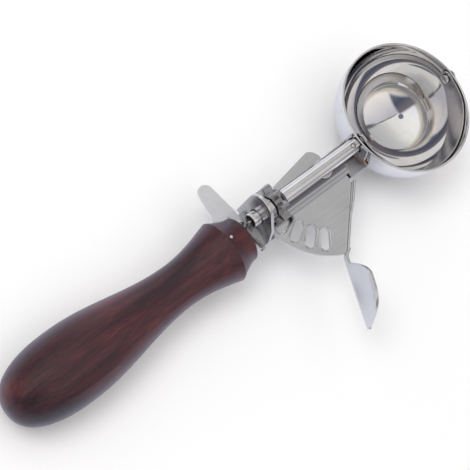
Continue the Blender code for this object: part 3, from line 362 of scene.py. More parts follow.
def keep_result(piece):
    """Replace a piece's mesh by its evaluated one, and drop the modifiers."""
    bpy.context.view_layer.update()
    evaluated = piece.evaluated_get(bpy.context.evaluated_depsgraph_get())
    mesh = bpy.data.meshes.new_from_object(evaluated)
    piece.modifiers.clear()
    piece.data = mesh
    return mesh


def settle(piece, matrix=None, angle=SMOOTH_ANGLE):
    """Keep a piece's evaluated mesh, smooth but for its sharp edges."""
    mesh = keep_result(piece)
    if matrix is not None:
        mesh.transform(matrix)
    bm = bmesh.new()
    bm.from_mesh(mesh)
    clean_into(mesh, bm)
    mesh.shade_smooth()
    mesh.set_sharp_from_angle(angle=math.radians(angle))
    return piece


def stand_for(piece, body, node, finish=None):
    """Let a piece ride on its body and replace its CAD node, in one finish if it is given."""
    if finish is not None:
        piece.data.materials.clear()
        piece.data.materials.append(finish)
    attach(piece, body)
    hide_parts(node)


def prism(name, outline, low, high, plane="XY"):
    """Flat outline pushed from low to high, as an object. In plane YZ the outline is (y, z)."""
    bm = bmesh.new()
    face = bm.faces.new([bm.verts.new((u, v, low)) for u, v in outline])
    pushed = bmesh.ops.extrude_face_region(bm, geom=[face])
    raised = [item for item in pushed["geom"] if isinstance(item, bmesh.types.BMVert)]
    bmesh.ops.translate(bm, verts=raised, vec=(0, 0, high - low))
    if plane == "YZ":
        bm.transform(Matrix(((0, 0, 1, 0), (1, 0, 0, 0), (0, 1, 0, 0), (0, 0, 0, 1))))
    return from_bmesh(name, bm)


def loft(name, sections):
    """Closed solid through sections with the same number of points."""
    bm = bmesh.new()
    rows = [[bm.verts.new(point) for point in section] for section in sections]
    count = len(rows[0])
    for row, following in zip(rows, rows[1:]):
        for index in range(count):
            after = (index + 1) % count
            bm.faces.new((row[index], row[after], following[after], following[index]))
    bm.faces.new(rows[0])
    bm.faces.new(rows[-1])
    return from_bmesh(name, bm)


def combine(piece, tool, operation):
    """Cut or join a tool at once, and delete the tool."""
    modifier = piece.modifiers.new("combine", "BOOLEAN")
    modifier.operation = operation
    modifier.solver = "EXACT"
    modifier.object = tool
    settle(piece)
    bpy.data.objects.remove(tool, do_unlink=True)


def cut(piece, *tools):
    """Cut tools out of a piece, one after the other."""
    for tool in tools:
        combine(piece, tool, "DIFFERENCE")


def round_edges(piece, width, segments=3, angle=SHARP_ANGLE):
    """Small round on every real edge, with flat faces left flat in the light."""
    modifier = piece.modifiers.new("round", "BEVEL")
    modifier.width = width
    modifier.segments = segments
    modifier.limit_method = "ANGLE"
    modifier.angle_limit = math.radians(angle)
    modifier.harden_normals = False
    modifier.use_clamp_overlap = True
    settle(piece, None, SHARP_ANGLE)
    normals = piece.modifiers.new("flat faces", "WEIGHTED_NORMAL")
    normals.keep_sharp = True
    normals.weight = 100
    keep_result(piece)


def arc(centre, radius, start, end, steps):
    """Points on a circle in a plane, both ends included, angles in degrees."""
    angles = [math.radians(start + (end - start) * step / steps) for step in range(steps + 1)]
    return [(centre[0] + radius * math.cos(a), centre[1] + radius * math.sin(a)) for a in angles]


def half_round(radius, steps):
    """Quarter circle from the lowest point of a ball to its widest, as (height, radius) points."""
    angles = [math.pi / 2 * step / steps for step in range(steps + 1)]
    return [(-radius * math.cos(a), radius * math.sin(a)) for a in angles]


# Geometry Nodes trees

def new_tree(name, **inputs):
    """Geometry Nodes tree with named inputs, its graph and its inputs' sockets."""
    tree = bpy.data.node_groups.new(name, "GeometryNodeTree")
    for label, kind in inputs.items():
        tree.interface.new_socket(label, in_out="INPUT", socket_type="NodeSocket" + kind)
    tree.interface.new_socket("Form", in_out="OUTPUT", socket_type="NodeSocketGeometry")
    graph = Graph(tree)
    return tree, graph, graph.add("NodeGroupInput").outputs


def end_tree(graph, geometry, finish):
    """Realize Instances and Set Material at the end of a tree."""
    real = graph.add("GeometryNodeRealizeInstances", {"Geometry": geometry}).outputs["Geometry"]
    painted = graph.add("GeometryNodeSetMaterial", {"Geometry": real, "Material": finish})
    graph.add("NodeGroupOutput", {0: painted.outputs["Geometry"]})


def turning_tree():
    """Tree that spins the input's line of points round the Z axis."""
    tree, graph, given = new_tree("turned form", Profile="Geometry", Sides="Int", Finish="Material")
    size = graph.add("GeometryNodeAttributeDomainSize", {"Geometry": given["Profile"]})
    around = graph.math("ADD", given["Sides"], 1)
    grid = graph.add("GeometryNodeMeshGrid", {"Vertices X": size.outputs["Point Count"], "Vertices Y": around})
    index = graph.add("GeometryNodeInputIndex").outputs["Index"]
    against_rounding = 0.0001
    row = graph.math("FLOOR", graph.math("ADD", graph.math("DIVIDE", index, around), against_rounding))
    column = graph.math("SUBTRACT", index, graph.math("MULTIPLY", row, around))
    angle = graph.math("MULTIPLY", graph.math("DIVIDE", column, given["Sides"]), 2 * math.pi)
    position = graph.add("GeometryNodeInputPosition").outputs["Position"]
    inputs = {"Geometry": given["Profile"], "Value": position, "Index": row}
    point = graph.add("GeometryNodeSampleIndex", inputs, data_type="FLOAT_VECTOR").outputs["Value"]
    spun = graph.add("ShaderNodeVectorRotate", {"Vector": point, "Angle": angle}, rotation_type="Z_AXIS")
    inputs = {"Geometry": grid.outputs["Mesh"], "Position": spun.outputs["Vector"]}
    moved = graph.add("GeometryNodeSetPosition", inputs).outputs["Geometry"]
    merged = graph.add("GeometryNodeMergeByDistance", {"Geometry": moved, "Distance": 2 * MERGE_DISTANCE})
    end_tree(graph, merged.outputs["Geometry"], given["Finish"])
    return tree


def wire_tree():
    """Tree that sweeps a round wire along the input's line of points."""
    tree, graph, given = new_tree(
        "wire along a path", Path="Geometry", Radius="Float", Sides="Int", Finish="Material")
    path = graph.add("GeometryNodeMeshToCurve", {"Mesh": given["Path"]}).outputs["Curve"]
    inputs = {"Radius": given["Radius"], "Resolution": given["Sides"]}
    circle = graph.add("GeometryNodeCurvePrimitiveCircle", inputs).outputs["Curve"]
    sweep = graph.add("GeometryNodeCurveToMesh", {"Curve": path, "Profile Curve": circle, "Fill Caps": True})
    end_tree(graph, sweep.outputs["Mesh"], given["Finish"])
    return tree


def fan_tree():
    """Tree that repeats the input round the Z axis, a number of times at an even pitch."""
    tree, graph, given = new_tree(
        "copies round a pivot", Shape="Geometry", Count="Int", Pitch="Float", Finish="Material")
    inputs = {"Count": given["Count"], "Offset": (0, 0, 0)}
    line = graph.add("GeometryNodeMeshLine", inputs, mode="OFFSET").outputs["Mesh"]
    index = graph.add("GeometryNodeInputIndex").outputs["Index"]
    turn = graph.add("ShaderNodeCombineXYZ", {"Z": graph.math("MULTIPLY", index, given["Pitch"])})
    inputs = {"Points": line, "Instance": given["Shape"], "Rotation": turn.outputs["Vector"]}
    copies = graph.add("GeometryNodeInstanceOnPoints", inputs).outputs["Instances"]
    end_tree(graph, copies, given["Finish"])
    return tree


TURNING = turning_tree()
WIRE = wire_tree()
FAN = fan_tree()


def apply_tree(piece, tree, matrix=None, **values):
    """Run a tree on a piece with named inputs, and keep the plain mesh."""
    modifier = piece.modifiers.new(tree.name, "NODES")
    modifier.node_group = tree
    names = {item.name: item.identifier for item in tree.interface.items_tree if item.in_out == "INPUT"}
    for name, value in values.items():
        modifier[names[name]] = value
    return settle(piece, matrix)


def line_object(name, points, closed=False):
    """Object whose mesh is a line through the points."""
    mesh = bpy.data.meshes.new(name)
    edges = [(index, index + 1) for index in range(len(points) - 1)]
    if closed:
        edges.append((len(points) - 1, 0))
    mesh.from_pydata([tuple(point) for point in points], edges, [])
    return link(name, mesh)


def turned(name, profile, finish, sides=FINE_SIDES, axis="Z", place=(0, 0, 0), tilt=0):
    """Round piece from (distance, radius) points, on the Z or the X axis through a place."""
    piece = line_object(name, [(radius, 0, distance) for distance, radius in profile])
    upright = math.pi / 2 if axis == "X" else 0
    matrix = Matrix.Translation(place) @ Matrix.Rotation(upright - tilt, 4, "Y")
    return apply_tree(piece, TURNING, matrix, Sides=sides, Finish=finish)


def ring_profile(inner, outer, low, high, edge):
    """Closed profile of a ring with small rounds on its edges, first point repeated."""
    corners = [
        ((low + edge, inner + edge), 180, 270),
        ((high - edge, inner + edge), 270, 360),
        ((high - edge, outer - edge), 0, 90),
        ((low + edge, outer - edge), 90, 180),
    ]
    points = []
    for centre, start, end in corners:
        points += arc(centre, edge, start, end, 4)
    return points + [points[0]]


def solid_profile(steps, edge):
    """Profile of a stepped pin: (low, high, radius) steps along its axis, with rounded outer edges."""
    points = [(steps[0][0], 0)]
    for number, (low, high, radius) in enumerate(steps):
        before = steps[number - 1][2] if number else 0
        after = steps[number + 1][2] if number + 1 < len(steps) else 0
        points += arc((low + edge, radius - edge), edge, 180, 90, 4) if radius > before else [(low, radius)]
        points += arc((high - edge, radius - edge), edge, 90, 0, 4) if radius > after else [(high, radius)]
    points.append((steps[-1][1], 0))
    return points


def drill(name, radius, low, high, place=(0, 0, 0), axis="Z", sides=64):
    """Round cutter along Z or X through a place."""
    return turned(name, [(low, 0), (low, radius), (high, radius), (high, 0)], None, sides, axis, place)


def bore(name, radius, low, high, sides=64):
    """Round cutter along the rod's axis."""
    return drill(name, radius, low, high, AXIS, "X", sides)


# Finishes
HANDLE_DROOP = math.radians(2.65)
MIRROR = new_metal("bowl mirror polish", mirror_polish)
POLISHED = steel(
    "polished drawn steel", (0.62, 0.61, 0.62), (0.84, 0.83, 0.84), (0.10, 0.22), (30, 2600, 2600))
SATIN = steel(
    "satin sheet steel", (0.62, 0.62, 0.63), (0.74, 0.74, 0.75), (0.20, 0.32), (60, 1700, 1700))
# Lighter and bluer copy of the sheet steel: painted light and a painted bluish reflection for the finger
# rest's tilted face.
PALE_PAINTED_LIGHT = steel(
    "pale steel with painted light", (0.86, 0.86, 0.90), (0.97, 0.97, 1.0), (0.32, 0.46), (300, 900, 300))
BLADE = steel(
    "scraper blade steel", (0.44, 0.43, 0.44), (0.62, 0.61, 0.62), (0.12, 0.20), (60, 2600, 2600))
DARK = steel(
    "dark stamped steel", (0.30, 0.295, 0.30), (0.42, 0.41, 0.41), (0.16, 0.26), (500, 1400, 1400))
WIRE_STEEL = steel(
    "drawn spring wire", (0.36, 0.35, 0.34), (0.54, 0.53, 0.52), (0.20, 0.34), (800, 800, 800))
# Strip finish with painted shade and a painted highlight beside the rod.
STRIP = new_metal("rolled strip with painted rod shade", shaded_strip)
# Heat tinted steel with a band of painted shade.
TINTED_AND_SHADED = new_metal("heat tinted steel with painted shade", heat_tint_and_painted_shade)
BRASS = new_metal("dull brass", dull_brass)
WOOD = varnished_wood("varnished dark wood", HANDLE_DROOP)


# Bowl and scraper

BOWL_STEPS = 72
FAR_PIN_SHANK = 0.0012
FAR_HOLE = FAR_PIN_SHANK + GAP
SHAFT_SHANK = 0.0015
NEAR_HOLE = SHAFT_SHANK + GAP
PIN_HEAD = 0.0024
FLAT_HEAD = 0.0006


def make_bowl():
    """Half sphere with a straight rim and a soft lip."""
    lip = BOWL_WALL / 2
    profile = half_round(BOWL_RADIUS, BOWL_STEPS)
    profile += arc((RIM_HEIGHT - lip, BOWL_RADIUS - lip), lip, 90, -90, 12)
    profile += reversed(half_round(BOWL_INSIDE, BOWL_STEPS))
    bowl = turned("polished_bowl", profile, MIRROR, BOWL_SIDES, "Z", AXIS)
    cut(bowl, bore("far_hole", FAR_HOLE, BOWL_INSIDE / 2, 2 * BOWL_RADIUS))
    cut(bowl, bore("near_hole", NEAR_HOLE, -2 * BOWL_RADIUS, -BOWL_INSIDE / 2))
    stand_for(bowl, "frame", "bowl", MIRROR)


SCRAPER_WIDTH = 0.0090
SCRAPER_THICKNESS = 0.0006
SCRAPER_EYE = 0.0030
SCRAPER_ANGLE = math.radians(15)
SCRAPER_FLARE = math.radians(28)
SCRAPER_EDGE = 0.0001
SCRAPER_OUTER = math.sqrt((BOWL_INSIDE - GAP) ** 2 - (SCRAPER_WIDTH / 2) ** 2)
EYE_STEPS = 12
BEND_STEPS = 96


def make_scraper():
    """Half-ring blade with round eyes, just under the rim on the lever's side."""
    inner = SCRAPER_OUTER - SCRAPER_THICKNESS
    stations = []
    for step in range(EYE_STEPS):
        drop = SCRAPER_EYE * math.cos(math.pi / 2 * step / EYE_STEPS)
        half = math.sqrt(max(SCRAPER_EYE ** 2 - drop ** 2, (SCRAPER_EYE / 8) ** 2))
        stations.append(((1, 0), -drop, half))
    for step in range(BEND_STEPS + 1):
        turn = math.pi * step / BEND_STEPS
        spread = min(min(turn, math.pi - turn) / SCRAPER_FLARE, 1)
        ease = (1 - math.cos(math.pi * spread)) / 2
        half = SCRAPER_EYE + (SCRAPER_WIDTH / 2 - SCRAPER_EYE) * ease
        stations.append(((math.cos(turn), math.sin(turn)), 0, half))
    stations += [((-1, 0), drop, half) for (_, drop, half) in reversed(stations[:EYE_STEPS])]
    down = Vector((0, -math.cos(SCRAPER_ANGLE), -math.sin(SCRAPER_ANGLE)))
    across = Vector((0, math.sin(SCRAPER_ANGLE), -math.cos(SCRAPER_ANGLE)))
    sections = []
    for (forth, deep), drop, half in stations:
        section = []
        for radius, side in ((SCRAPER_OUTER, -half), (SCRAPER_OUTER, half), (inner, half), (inner, -half)):
            spot = Vector((forth * radius, 0, 0)) + down * (deep * radius + drop) + across * side
            section.append(Vector(AXIS) + spot)
        sections.append(section)
    scraper = loft("scraper_blade", sections)
    cut(scraper, bore("far_eye", FAR_HOLE, BOWL_INSIDE / 2, BOWL_RADIUS))
    cut(scraper, bore("near_eye", NEAR_HOLE, -BOWL_RADIUS, -BOWL_INSIDE / 2))
    round_edges(scraper, SCRAPER_EDGE, 2)
    stand_for(scraper, "rod", "scraper", BLADE)


def make_far_pin():
    """Rivet with a domed head outside the bowl's far wall."""
    low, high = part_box("far_pivot_pin")
    edge = 0.0002
    inner = PIN_HEAD * 0.8
    outside = BOWL_RADIUS + GAP
    inside = low.x + FLAT_HEAD
    profile = [(low.x, 0)] + arc((low.x + edge, inner - edge), edge, 180, 90, 4)
    profile += [(inside, inner), (inside, FAR_PIN_SHANK), (outside, FAR_PIN_SHANK), (outside, PIN_HEAD * 0.96)]
    dome = arc((0, 0), 1, 12, 90, 12)
    profile += [(outside + (high.x - outside) * rise, PIN_HEAD * reach) for reach, rise in dome]
    profile[-1] = (high.x, 0)
    pin = turned("far_pivot_rivet", profile, POLISHED, 64, "X", AXIS)
    stand_for(pin, "frame", "far_pivot_pin")


# Rod

ROD_EDGE = 0.00018
SHAFT_EDGE = 0.00015
PIN_DOME = 0.0002
CROSS_HOLE_REACH = 0.006
LOBES = 8
LOBE_TIP = 0.0073
LOBE_ROUND = 0.00075
LOBE_VALLEY = 0.0047
VALLEY_START, VALLEY_END = 0.33, 0.67
STAR_EDGE = 0.00022
COLLAR_SIDES = 8
COLLAR_EDGE = 0.00016
FIRST_SLOT = 5.0
SLOT_PITCH = 12.0
SLOTS = 5
SPRING_WIRE = 0.0006
SPRING_TURNS = 14
SPRING_TURN_STEPS = 28


def cross_hole(name):
    """Cutter for the cross pin through the rod and the shaft."""
    place = (plan_middle("rod_pin")[0], 0, AXIS_Z)
    return drill(name, ROD_PIN_RADIUS + GAP, -CROSS_HOLE_REACH, CROSS_HOLE_REACH, place)


def domed_pin(name, half, radius, sides, place=(0, 0, 0)):
    """Upright pin with domed ends, of half the length on each side of a place."""
    profile = [(-half, 0), (-half + PIN_DOME / 4, radius * 0.6), (-half + PIN_DOME, radius)]
    profile += [(-distance, size) for distance, size in reversed(profile)]
    return turned(name, profile, POLISHED, sides, "Z", place)


def make_rod():
    """Hollow rod with softly broken end edges and a cross hole near the bowl."""
    ring = ring_profile(ROD_RADIUS - ROD_WALL, ROD_RADIUS, ROD_LOW.x, ROD_HIGH.x, ROD_EDGE)
    rod = turned("hollow_rod", ring, POLISHED, FINE_SIDES, "X", AXIS)
    cut(rod, cross_hole("cross_hole"))
    stand_for(rod, "rod", "rod_tube", POLISHED)


def make_rod_pin():
    """Cross pin with domed ends."""
    low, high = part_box("rod_pin")
    place = (plan_middle("rod_pin")[0], 0, AXIS_Z)
    pin = domed_pin("rod_cross_pin", (high.z - low.z) / 2, ROD_PIN_RADIUS, 32, place)
    stand_for(pin, "rod", "rod_pin")


def make_shaft():
    """Shaft from the rod through the bowl's near wall, with a flat head inside the scraper's near eye."""
    low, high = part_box("scraper_shaft")
    grip = ROD_RADIUS - ROD_WALL - GAP
    head = high.x - FLAT_HEAD
    steps = [(low.x, ROD_HIGH.x, grip), (ROD_HIGH.x, head, SHAFT_SHANK), (head, high.x, PIN_HEAD)]
    shaft = turned("scraper_shaft_turned", solid_profile(steps, SHAFT_EDGE), POLISHED, 64, "X", AXIS)
    cut(shaft, cross_hole("shaft_hole"))
    stand_for(shaft, "rod", "scraper_shaft", POLISHED)


def make_star():
    """Star pinion with rounded lobes, hollow flanks and worn edges."""
    step = 360 / LOBES
    first = -90 - FIRST_SLOT * step / SLOT_PITCH
    tip = LOBE_TIP - LOBE_ROUND
    outline = []
    for lobe in range(LOBES):
        middle = first + lobe * step
        heading = math.radians(middle)
        centre = (tip * math.cos(heading), tip * math.sin(heading))
        outline += arc(centre, LOBE_ROUND, middle - 90, middle + 90, 8)
        outline += arc((0, 0), LOBE_VALLEY, middle + step * VALLEY_START, middle + step * VALLEY_END, 6)
    placed = [(y, z + AXIS_Z) for y, z in outline]
    star = prism("star_wheel", placed, STAR_LOW.x, STAR_HIGH.x, "YZ")
    cut(star, bore("star_bore", ROD_RADIUS + GAP, STAR_LOW.x - SHEET, STAR_HIGH.x + SHEET))
    round_edges(star, STAR_EDGE)
    stand_for(star, "rod", "star_pinion", DARK)


def make_collar():
    """Eight-sided sleeve between the star and the arch."""
    low, high = COLLAR_LOW.x, COLLAR_HIGH.x
    outer = (COLLAR_HIGH.y - COLLAR_LOW.y) / 2 / math.cos(math.pi / COLLAR_SIDES)
    first = 180 / COLLAR_SIDES
    sides = arc((0, AXIS_Z), outer, first, first + 360, COLLAR_SIDES)[:-1]
    collar = prism("eight_sided_sleeve", sides, low, high, "YZ")
    cut(collar, bore("sleeve_bore", ROD_RADIUS + GAP, low - SHEET, high + SHEET))
    round_edges(collar, COLLAR_EDGE, 3, 30)
    stand_for(collar, "rod", "pinion_collar", POLISHED)


def make_spring():
    """Wire spring inside the rod."""
    low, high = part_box("return_spring")
    radius = ROD_RADIUS - ROD_WALL - GAP - SPRING_WIRE / 2
    pitch = (high.x - low.x - 2 * SPRING_WIRE) / SPRING_TURNS
    points = [(high.x, radius, AXIS_Z)]
    for step in range(SPRING_TURNS * SPRING_TURN_STEPS + 1):
        angle = 2 * math.pi * step / SPRING_TURN_STEPS
        x = high.x - SPRING_WIRE - pitch * step / SPRING_TURN_STEPS
        points.append((x, radius * math.cos(angle), AXIS_Z + radius * math.sin(angle)))
    points.append((low.x, radius, AXIS_Z))
    spring = line_object("wound_spring", points)
    apply_tree(spring, WIRE, Radius=SPRING_WIRE / 2, Sides=10, Finish=WIRE_STEEL)
    stand_for(spring, "frame", "return_spring")


ANCHOR_RADIUS = 0.00045
ANCHOR_REACH = 0.0040
ANCHOR_BEND = 0.0012
ANCHOR_RUN = 0.0020
ANCHOR_HOOK = 0.0030


def rounded_path(corners, radius, steps):
    """Line through the corners in which each inner corner is a round bend."""
    path = [corners[0]]
    for before, corner, after in zip(corners, corners[1:], corners[2:]):
        start = corner + (before - corner).normalized() * radius
        end = corner + (after - corner).normalized() * radius
        for step in range(steps + 1):
            share = step / steps
            path.append(start.lerp(corner, share).lerp(corner.lerp(end, share), share))
    path.append(corners[-1])
    return path


def make_anchor():
    """Bent wire from inside the rod's open end to the edge of the lower strip."""
    post_x = ROD_LOW.x - GAP - ANCHOR_RADIUS
    rest_z = PLATE_TOP + GAP + SHEET + GAP + ANCHOR_RADIUS
    edge_y = -(ARCH_RIGHT_Y + GAP + ANCHOR_RADIUS)
    corners = [
        Vector((ROD_LOW.x + ANCHOR_REACH, 0, AXIS_Z)),
        Vector((post_x, 0, AXIS_Z)),
        Vector((post_x, -ANCHOR_BEND, rest_z)),
        Vector((post_x + ANCHOR_RUN, edge_y, rest_z)),
        Vector((post_x + ANCHOR_RUN, edge_y, rest_z - ANCHOR_HOOK)),
    ]
    anchor = line_object("spring_hook", rounded_path(corners, ANCHOR_BEND, 12))
    apply_tree(anchor, WIRE, Radius=ANCHOR_RADIUS, Sides=20, Finish=WIRE_STEEL)
    stand_for(anchor, "frame", "spring_anchor")


# Lever

SECTOR_RADIUS = 0.0311
SLOT_RIM = 0.0019
SLOT_LENGTH = 0.0082
SLOT_WIDTH = 0.0036
SLOT_CENTRE = SECTOR_RADIUS - SLOT_RIM - SLOT_LENGTH / 2
LAST_SLOT_MARGIN = 16.2
BEAD_MARGIN = 0.00038
BEAD_RADIUS = 0.00026
BEAD_FLATNESS = 0.9
HUB_CORNER = (0.0046, -0.0020)
HUB_CENTRE = (-0.0008, 0.0040)
HUB_RADIUS = 0.0045
SHOULDER_LEAN = math.radians(14)
HEEL = (0.0077, -0.0055)
FLANGE_ROOT = (0.0082, -0.0103)
FLANGE_TALL = 0.0034
FLANGE_LOW = 0.0018
FLANGE_TALL_SHARE = 0.3
FLANGE_LOW_SHARE = 0.5
FLANGE_STEPS = 32
FOLD_ROUND = 0.0008
FOLD_FILLET = 0.0003
TRIM_OVERRUN = 0.002
TRIM_REACH = 0.004
LEVER_EDGE = 0.00014
PAD_LENGTH = 0.0296
PAD_HEIGHT = 0.0154
PAD_NECK_HEIGHT = 0.0022
PAD_NECK_LENGTH = 0.0054
PAD_TIP_LIFT = 0.0018
PAD_RISE_SHARE = 0.35
PAD_RISE_POWER = 2.1
PAD_FALL_SHARE = 0.48
PAD_FALL_POWER = 2.4
PAD_OVERLAP = 0.0016
PAD_JOG = 0.0016
PAD_JOG_LENGTH = 0.0030
PAD_ROOT_SET = 0.0002
PAD_TURN = math.radians(66)
PAD_DISH = 0.0016
PAD_JOG_STEPS = 12
PAD_STEPS = 64
PAD_ACROSS_STEPS = 14


def flange_ends():
    """Inner and outer end of the sector's folded edge, from the pivot."""
    end = math.radians(FIRST_SLOT + (SLOTS - 1) * SLOT_PITCH + LAST_SLOT_MARGIN)
    return Vector(FLANGE_ROOT), Vector((-SECTOR_RADIUS * math.cos(end), -SECTOR_RADIUS * math.sin(end)))


def lever_prism(name, points, overrun=0):
    """Prism as thick as the lever's sheet, from points that are measured from the pivot."""
    placed = [(x + PIVOT_X, y) for x, y in points]
    return prism(name, placed, LEVER_BOTTOM - overrun, LEVER_TOP + overrun)


def sector_outline():
    """Sector plate seen from above, measured from the pivot."""
    inner, outer = flange_ends()
    slot_edge = math.degrees(math.asin(SLOT_WIDTH / 2 / SLOT_CENTRE))
    start = 180 - (SLOT_PITCH - FIRST_SLOT - slot_edge)
    end = math.degrees(math.atan2(outer.y, outer.x)) + 360
    shoulder = SLOT_CENTRE - SLOT_LENGTH / 2
    points = arc((0, 0), SECTOR_RADIUS, start, end, 64)
    points += [tuple(inner), HEEL, HUB_CORNER]
    points += arc(HUB_CENTRE, HUB_RADIUS, 0, 82, 18)
    points.append((-shoulder * math.cos(SHOULDER_LEAN), shoulder * math.sin(SHOULDER_LEAN)))
    first = math.radians(start)
    points.append((shoulder * math.cos(first), shoulder * math.sin(first)))
    return points


def stadium(length, width, steps=12):
    """Slot shape along X, centred on the origin."""
    half = (length - width) / 2
    return arc((half, 0), width / 2, -90, 90, steps) + arc((-half, 0), width / 2, 90, 270, steps)


def fan_out(piece, height, finish):
    """Move a piece from the origin to the first slot, and repeat it at every slot."""
    piece.data.transform(Matrix.Translation((SLOT_CENTRE, 0, height)))
    piece.data.transform(Matrix.Rotation(math.radians(180 + FIRST_SLOT), 4, "Z"))
    pitch = math.radians(SLOT_PITCH)
    return apply_tree(piece, FAN, Matrix.Translation(PIVOT), Count=SLOTS, Pitch=pitch, Finish=finish)


def make_slot_beads():
    """Low pressed bead round each slot."""
    path = stadium(SLOT_LENGTH + 2 * BEAD_MARGIN, SLOT_WIDTH + 2 * BEAD_MARGIN, 16)
    bead = line_object("slot_beads", [(x, y, 0) for x, y in path], closed=True)
    apply_tree(bead, WIRE, Radius=BEAD_RADIUS, Sides=10, Finish=POLISHED)
    bead.data.transform(Matrix.Diagonal((1, 1, BEAD_FLATNESS, 1)))
    fan_out(bead, LEVER_TOP, POLISHED)
    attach(bead, "lever")


def flange_section(start, out, height):
    """Section of the folded edge: a round fold, an upright wall and a round inner corner."""
    shape = [(-SHEET - FOLD_ROUND, 0)] + arc((-FOLD_ROUND, FOLD_ROUND), FOLD_ROUND, -90, 0, 8)
    shape += arc((-SHEET / 2, height - SHEET / 2), SHEET / 2, 0, 180, 8)
    shape += arc((-SHEET - FOLD_FILLET, SHEET + FOLD_FILLET), FOLD_FILLET, 0, -90, 4)
    shape.append((-SHEET - FOLD_ROUND, SHEET))
    return [Vector((start.x + out.x * u + PIVOT_X, start.y + out.y * u, LEVER_BOTTOM + w)) for u, w in shape]


def pad_rows():
    """Rows of the thumb pad: (distance, low edge, high edge, dish, sideways shift)."""
    rows = []
    for step in range(PAD_JOG_STEPS + 1):
        run = PAD_JOG_LENGTH * step / PAD_JOG_STEPS
        shift = -PAD_JOG * (1 - math.cos(math.pi * step / PAD_JOG_STEPS)) / 2
        rows.append((run, PAD_TIP_LIFT * (run / PAD_LENGTH) ** 2, PAD_NECK_HEIGHT, 0, shift))
    for step in range(PAD_STEPS + 1):
        share = step / PAD_STEPS
        run = PAD_NECK_LENGTH + (PAD_LENGTH - PAD_NECK_LENGTH) * share
        low = PAD_TIP_LIFT * (run / PAD_LENGTH) ** 2
        rise = 1 - (1 - min(share / PAD_RISE_SHARE, 1)) ** PAD_RISE_POWER
        fall = 1 - (max(share - PAD_FALL_SHARE, 0) / (1 - PAD_FALL_SHARE)) ** PAD_FALL_POWER
        crest = PAD_TIP_LIFT + (PAD_HEIGHT - PAD_TIP_LIFT) * fall
        high = max(PAD_NECK_HEIGHT + (crest - PAD_NECK_HEIGHT) * rise, low + PAD_NECK_HEIGHT / 2)
        bow = PAD_DISH * math.sin(math.pi * share) * ((high - low) / PAD_HEIGHT) ** 2
        rows.append((run, low, high, bow, -PAD_JOG))
    return rows


def pad_sections(start, heading):
    """Sections of the dished thumb pad: narrow neck, quick shoulder, bulging top, round tip."""
    left = Vector((-heading.y, heading.x))
    sections = []
    for run, low, high, bow, shift in pad_rows():
        front, back = [], []
        for step in range(PAD_ACROSS_STEPS + 1):
            share = step / PAD_ACROSS_STEPS
            dish = shift + bow * (1 - (2 * share - 1) ** 2)
            height = LEVER_BOTTOM + low + (high - low) * share
            for side, offset in ((front, dish), (back, dish - SHEET)):
                spot = start + heading * run + left * offset
                side.append(Vector((spot.x + PIVOT_X, spot.y, height)))
        sections.append(front + back[::-1])
    return sections


def make_lever():
    """Sector plate, slots, folded edge and thumb pad as one bent sheet."""
    inner, outer = flange_ends()
    heading = (outer - inner).normalized()
    out = Vector((-heading.y, heading.x))
    lever = lever_prism("thumb_lever", sector_outline())
    ends = (inner - heading * TRIM_OVERRUN, outer + heading * TRIM_OVERRUN)
    back, forth = out * (SHEET + FOLD_FILLET), out * TRIM_REACH
    trim = [ends[0] - back, ends[1] - back, ends[1] + forth, ends[0] + forth]
    cut(lever, lever_prism("fold_trim", trim, SHEET))
    sections = []
    for step in range(FLANGE_STEPS + 1):
        share = step / FLANGE_STEPS
        drop = min(max((share - FLANGE_TALL_SHARE) / (FLANGE_LOW_SHARE - FLANGE_TALL_SHARE), 0), 1)
        height = FLANGE_TALL + (FLANGE_LOW - FLANGE_TALL) * (1 - math.cos(math.pi * drop)) / 2
        sections.append(flange_section(inner + heading * (outer - inner).length * share, out, height))
    combine(lever, loft("fold", sections), "UNION")
    pad_heading = Vector((-math.cos(PAD_TURN), -math.sin(PAD_TURN)))
    pad_start = outer - heading * PAD_OVERLAP - pad_heading * PAD_ROOT_SET
    combine(lever, loft("pad", pad_sections(pad_start, pad_heading)), "UNION")
    slot = prism("slots", stadium(SLOT_LENGTH, SLOT_WIDTH), LEVER_BOTTOM - SHEET, LEVER_TOP + SHEET)
    cut(lever, fan_out(slot, 0, SATIN))
    cut(lever, drill("pivot_hole", PIVOT_HOLE, LEVER_BOTTOM - SHEET, LEVER_TOP + SHEET, PIVOT))
    round_edges(lever, LEVER_EDGE, 2)
    stand_for(lever, "lever", "lever", SATIN)


# Frame

ARCH_RIGHT_Y = 0.0092
ARCH_LEFT_Y = 0.0066
ARCH_THICKNESS = 0.0012
ARCH_CROWN_RADIUS = 0.0054
ARCH_SHOULDER = (-0.0074, 0.0017)
ARCH_SLOPE_DROP = 0.0052
PLATE_LEFT_Y = 0.0048
PLATE_EDGE = 0.0002
BRACKET_REACH = 0.0083
BRACKET_BACK = 0.0036
BRACKET_EDGE = 0.00014
TANG_ROOT = 0.00156
TANG_LENGTH = 0.036
TANG_HALF = 0.004
TANG_HOLE = 0.0011
COUNTERSINK = 0.0006
RIVET_RADIUS = 0.0016
RIVET_TAIL = 0.0026
PIVOT_HOLE = RIVET_RADIUS + GAP
REST_RIVET_RADIUS = 0.0007
REST_RIVET_TAIL = 0.0010
EAR_ROUND = 0.0016
EAR_DROP = 0.0008
BEARING_SHOULDER_DROP = 0.0022
STRIP_STEP = 0.0084
STRIP_HALF = 0.0031


def tang_block(name, rear, front, half, thick):
    """Flat block along the handle's axis, for the tang and for its slot."""
    block = prism(name, [(rear, -half), (front, -half), (front, half), (rear, half)], -thick, thick)
    block.data.transform(Matrix.Translation(HANDLE_PLACE) @ DROOP)
    return block


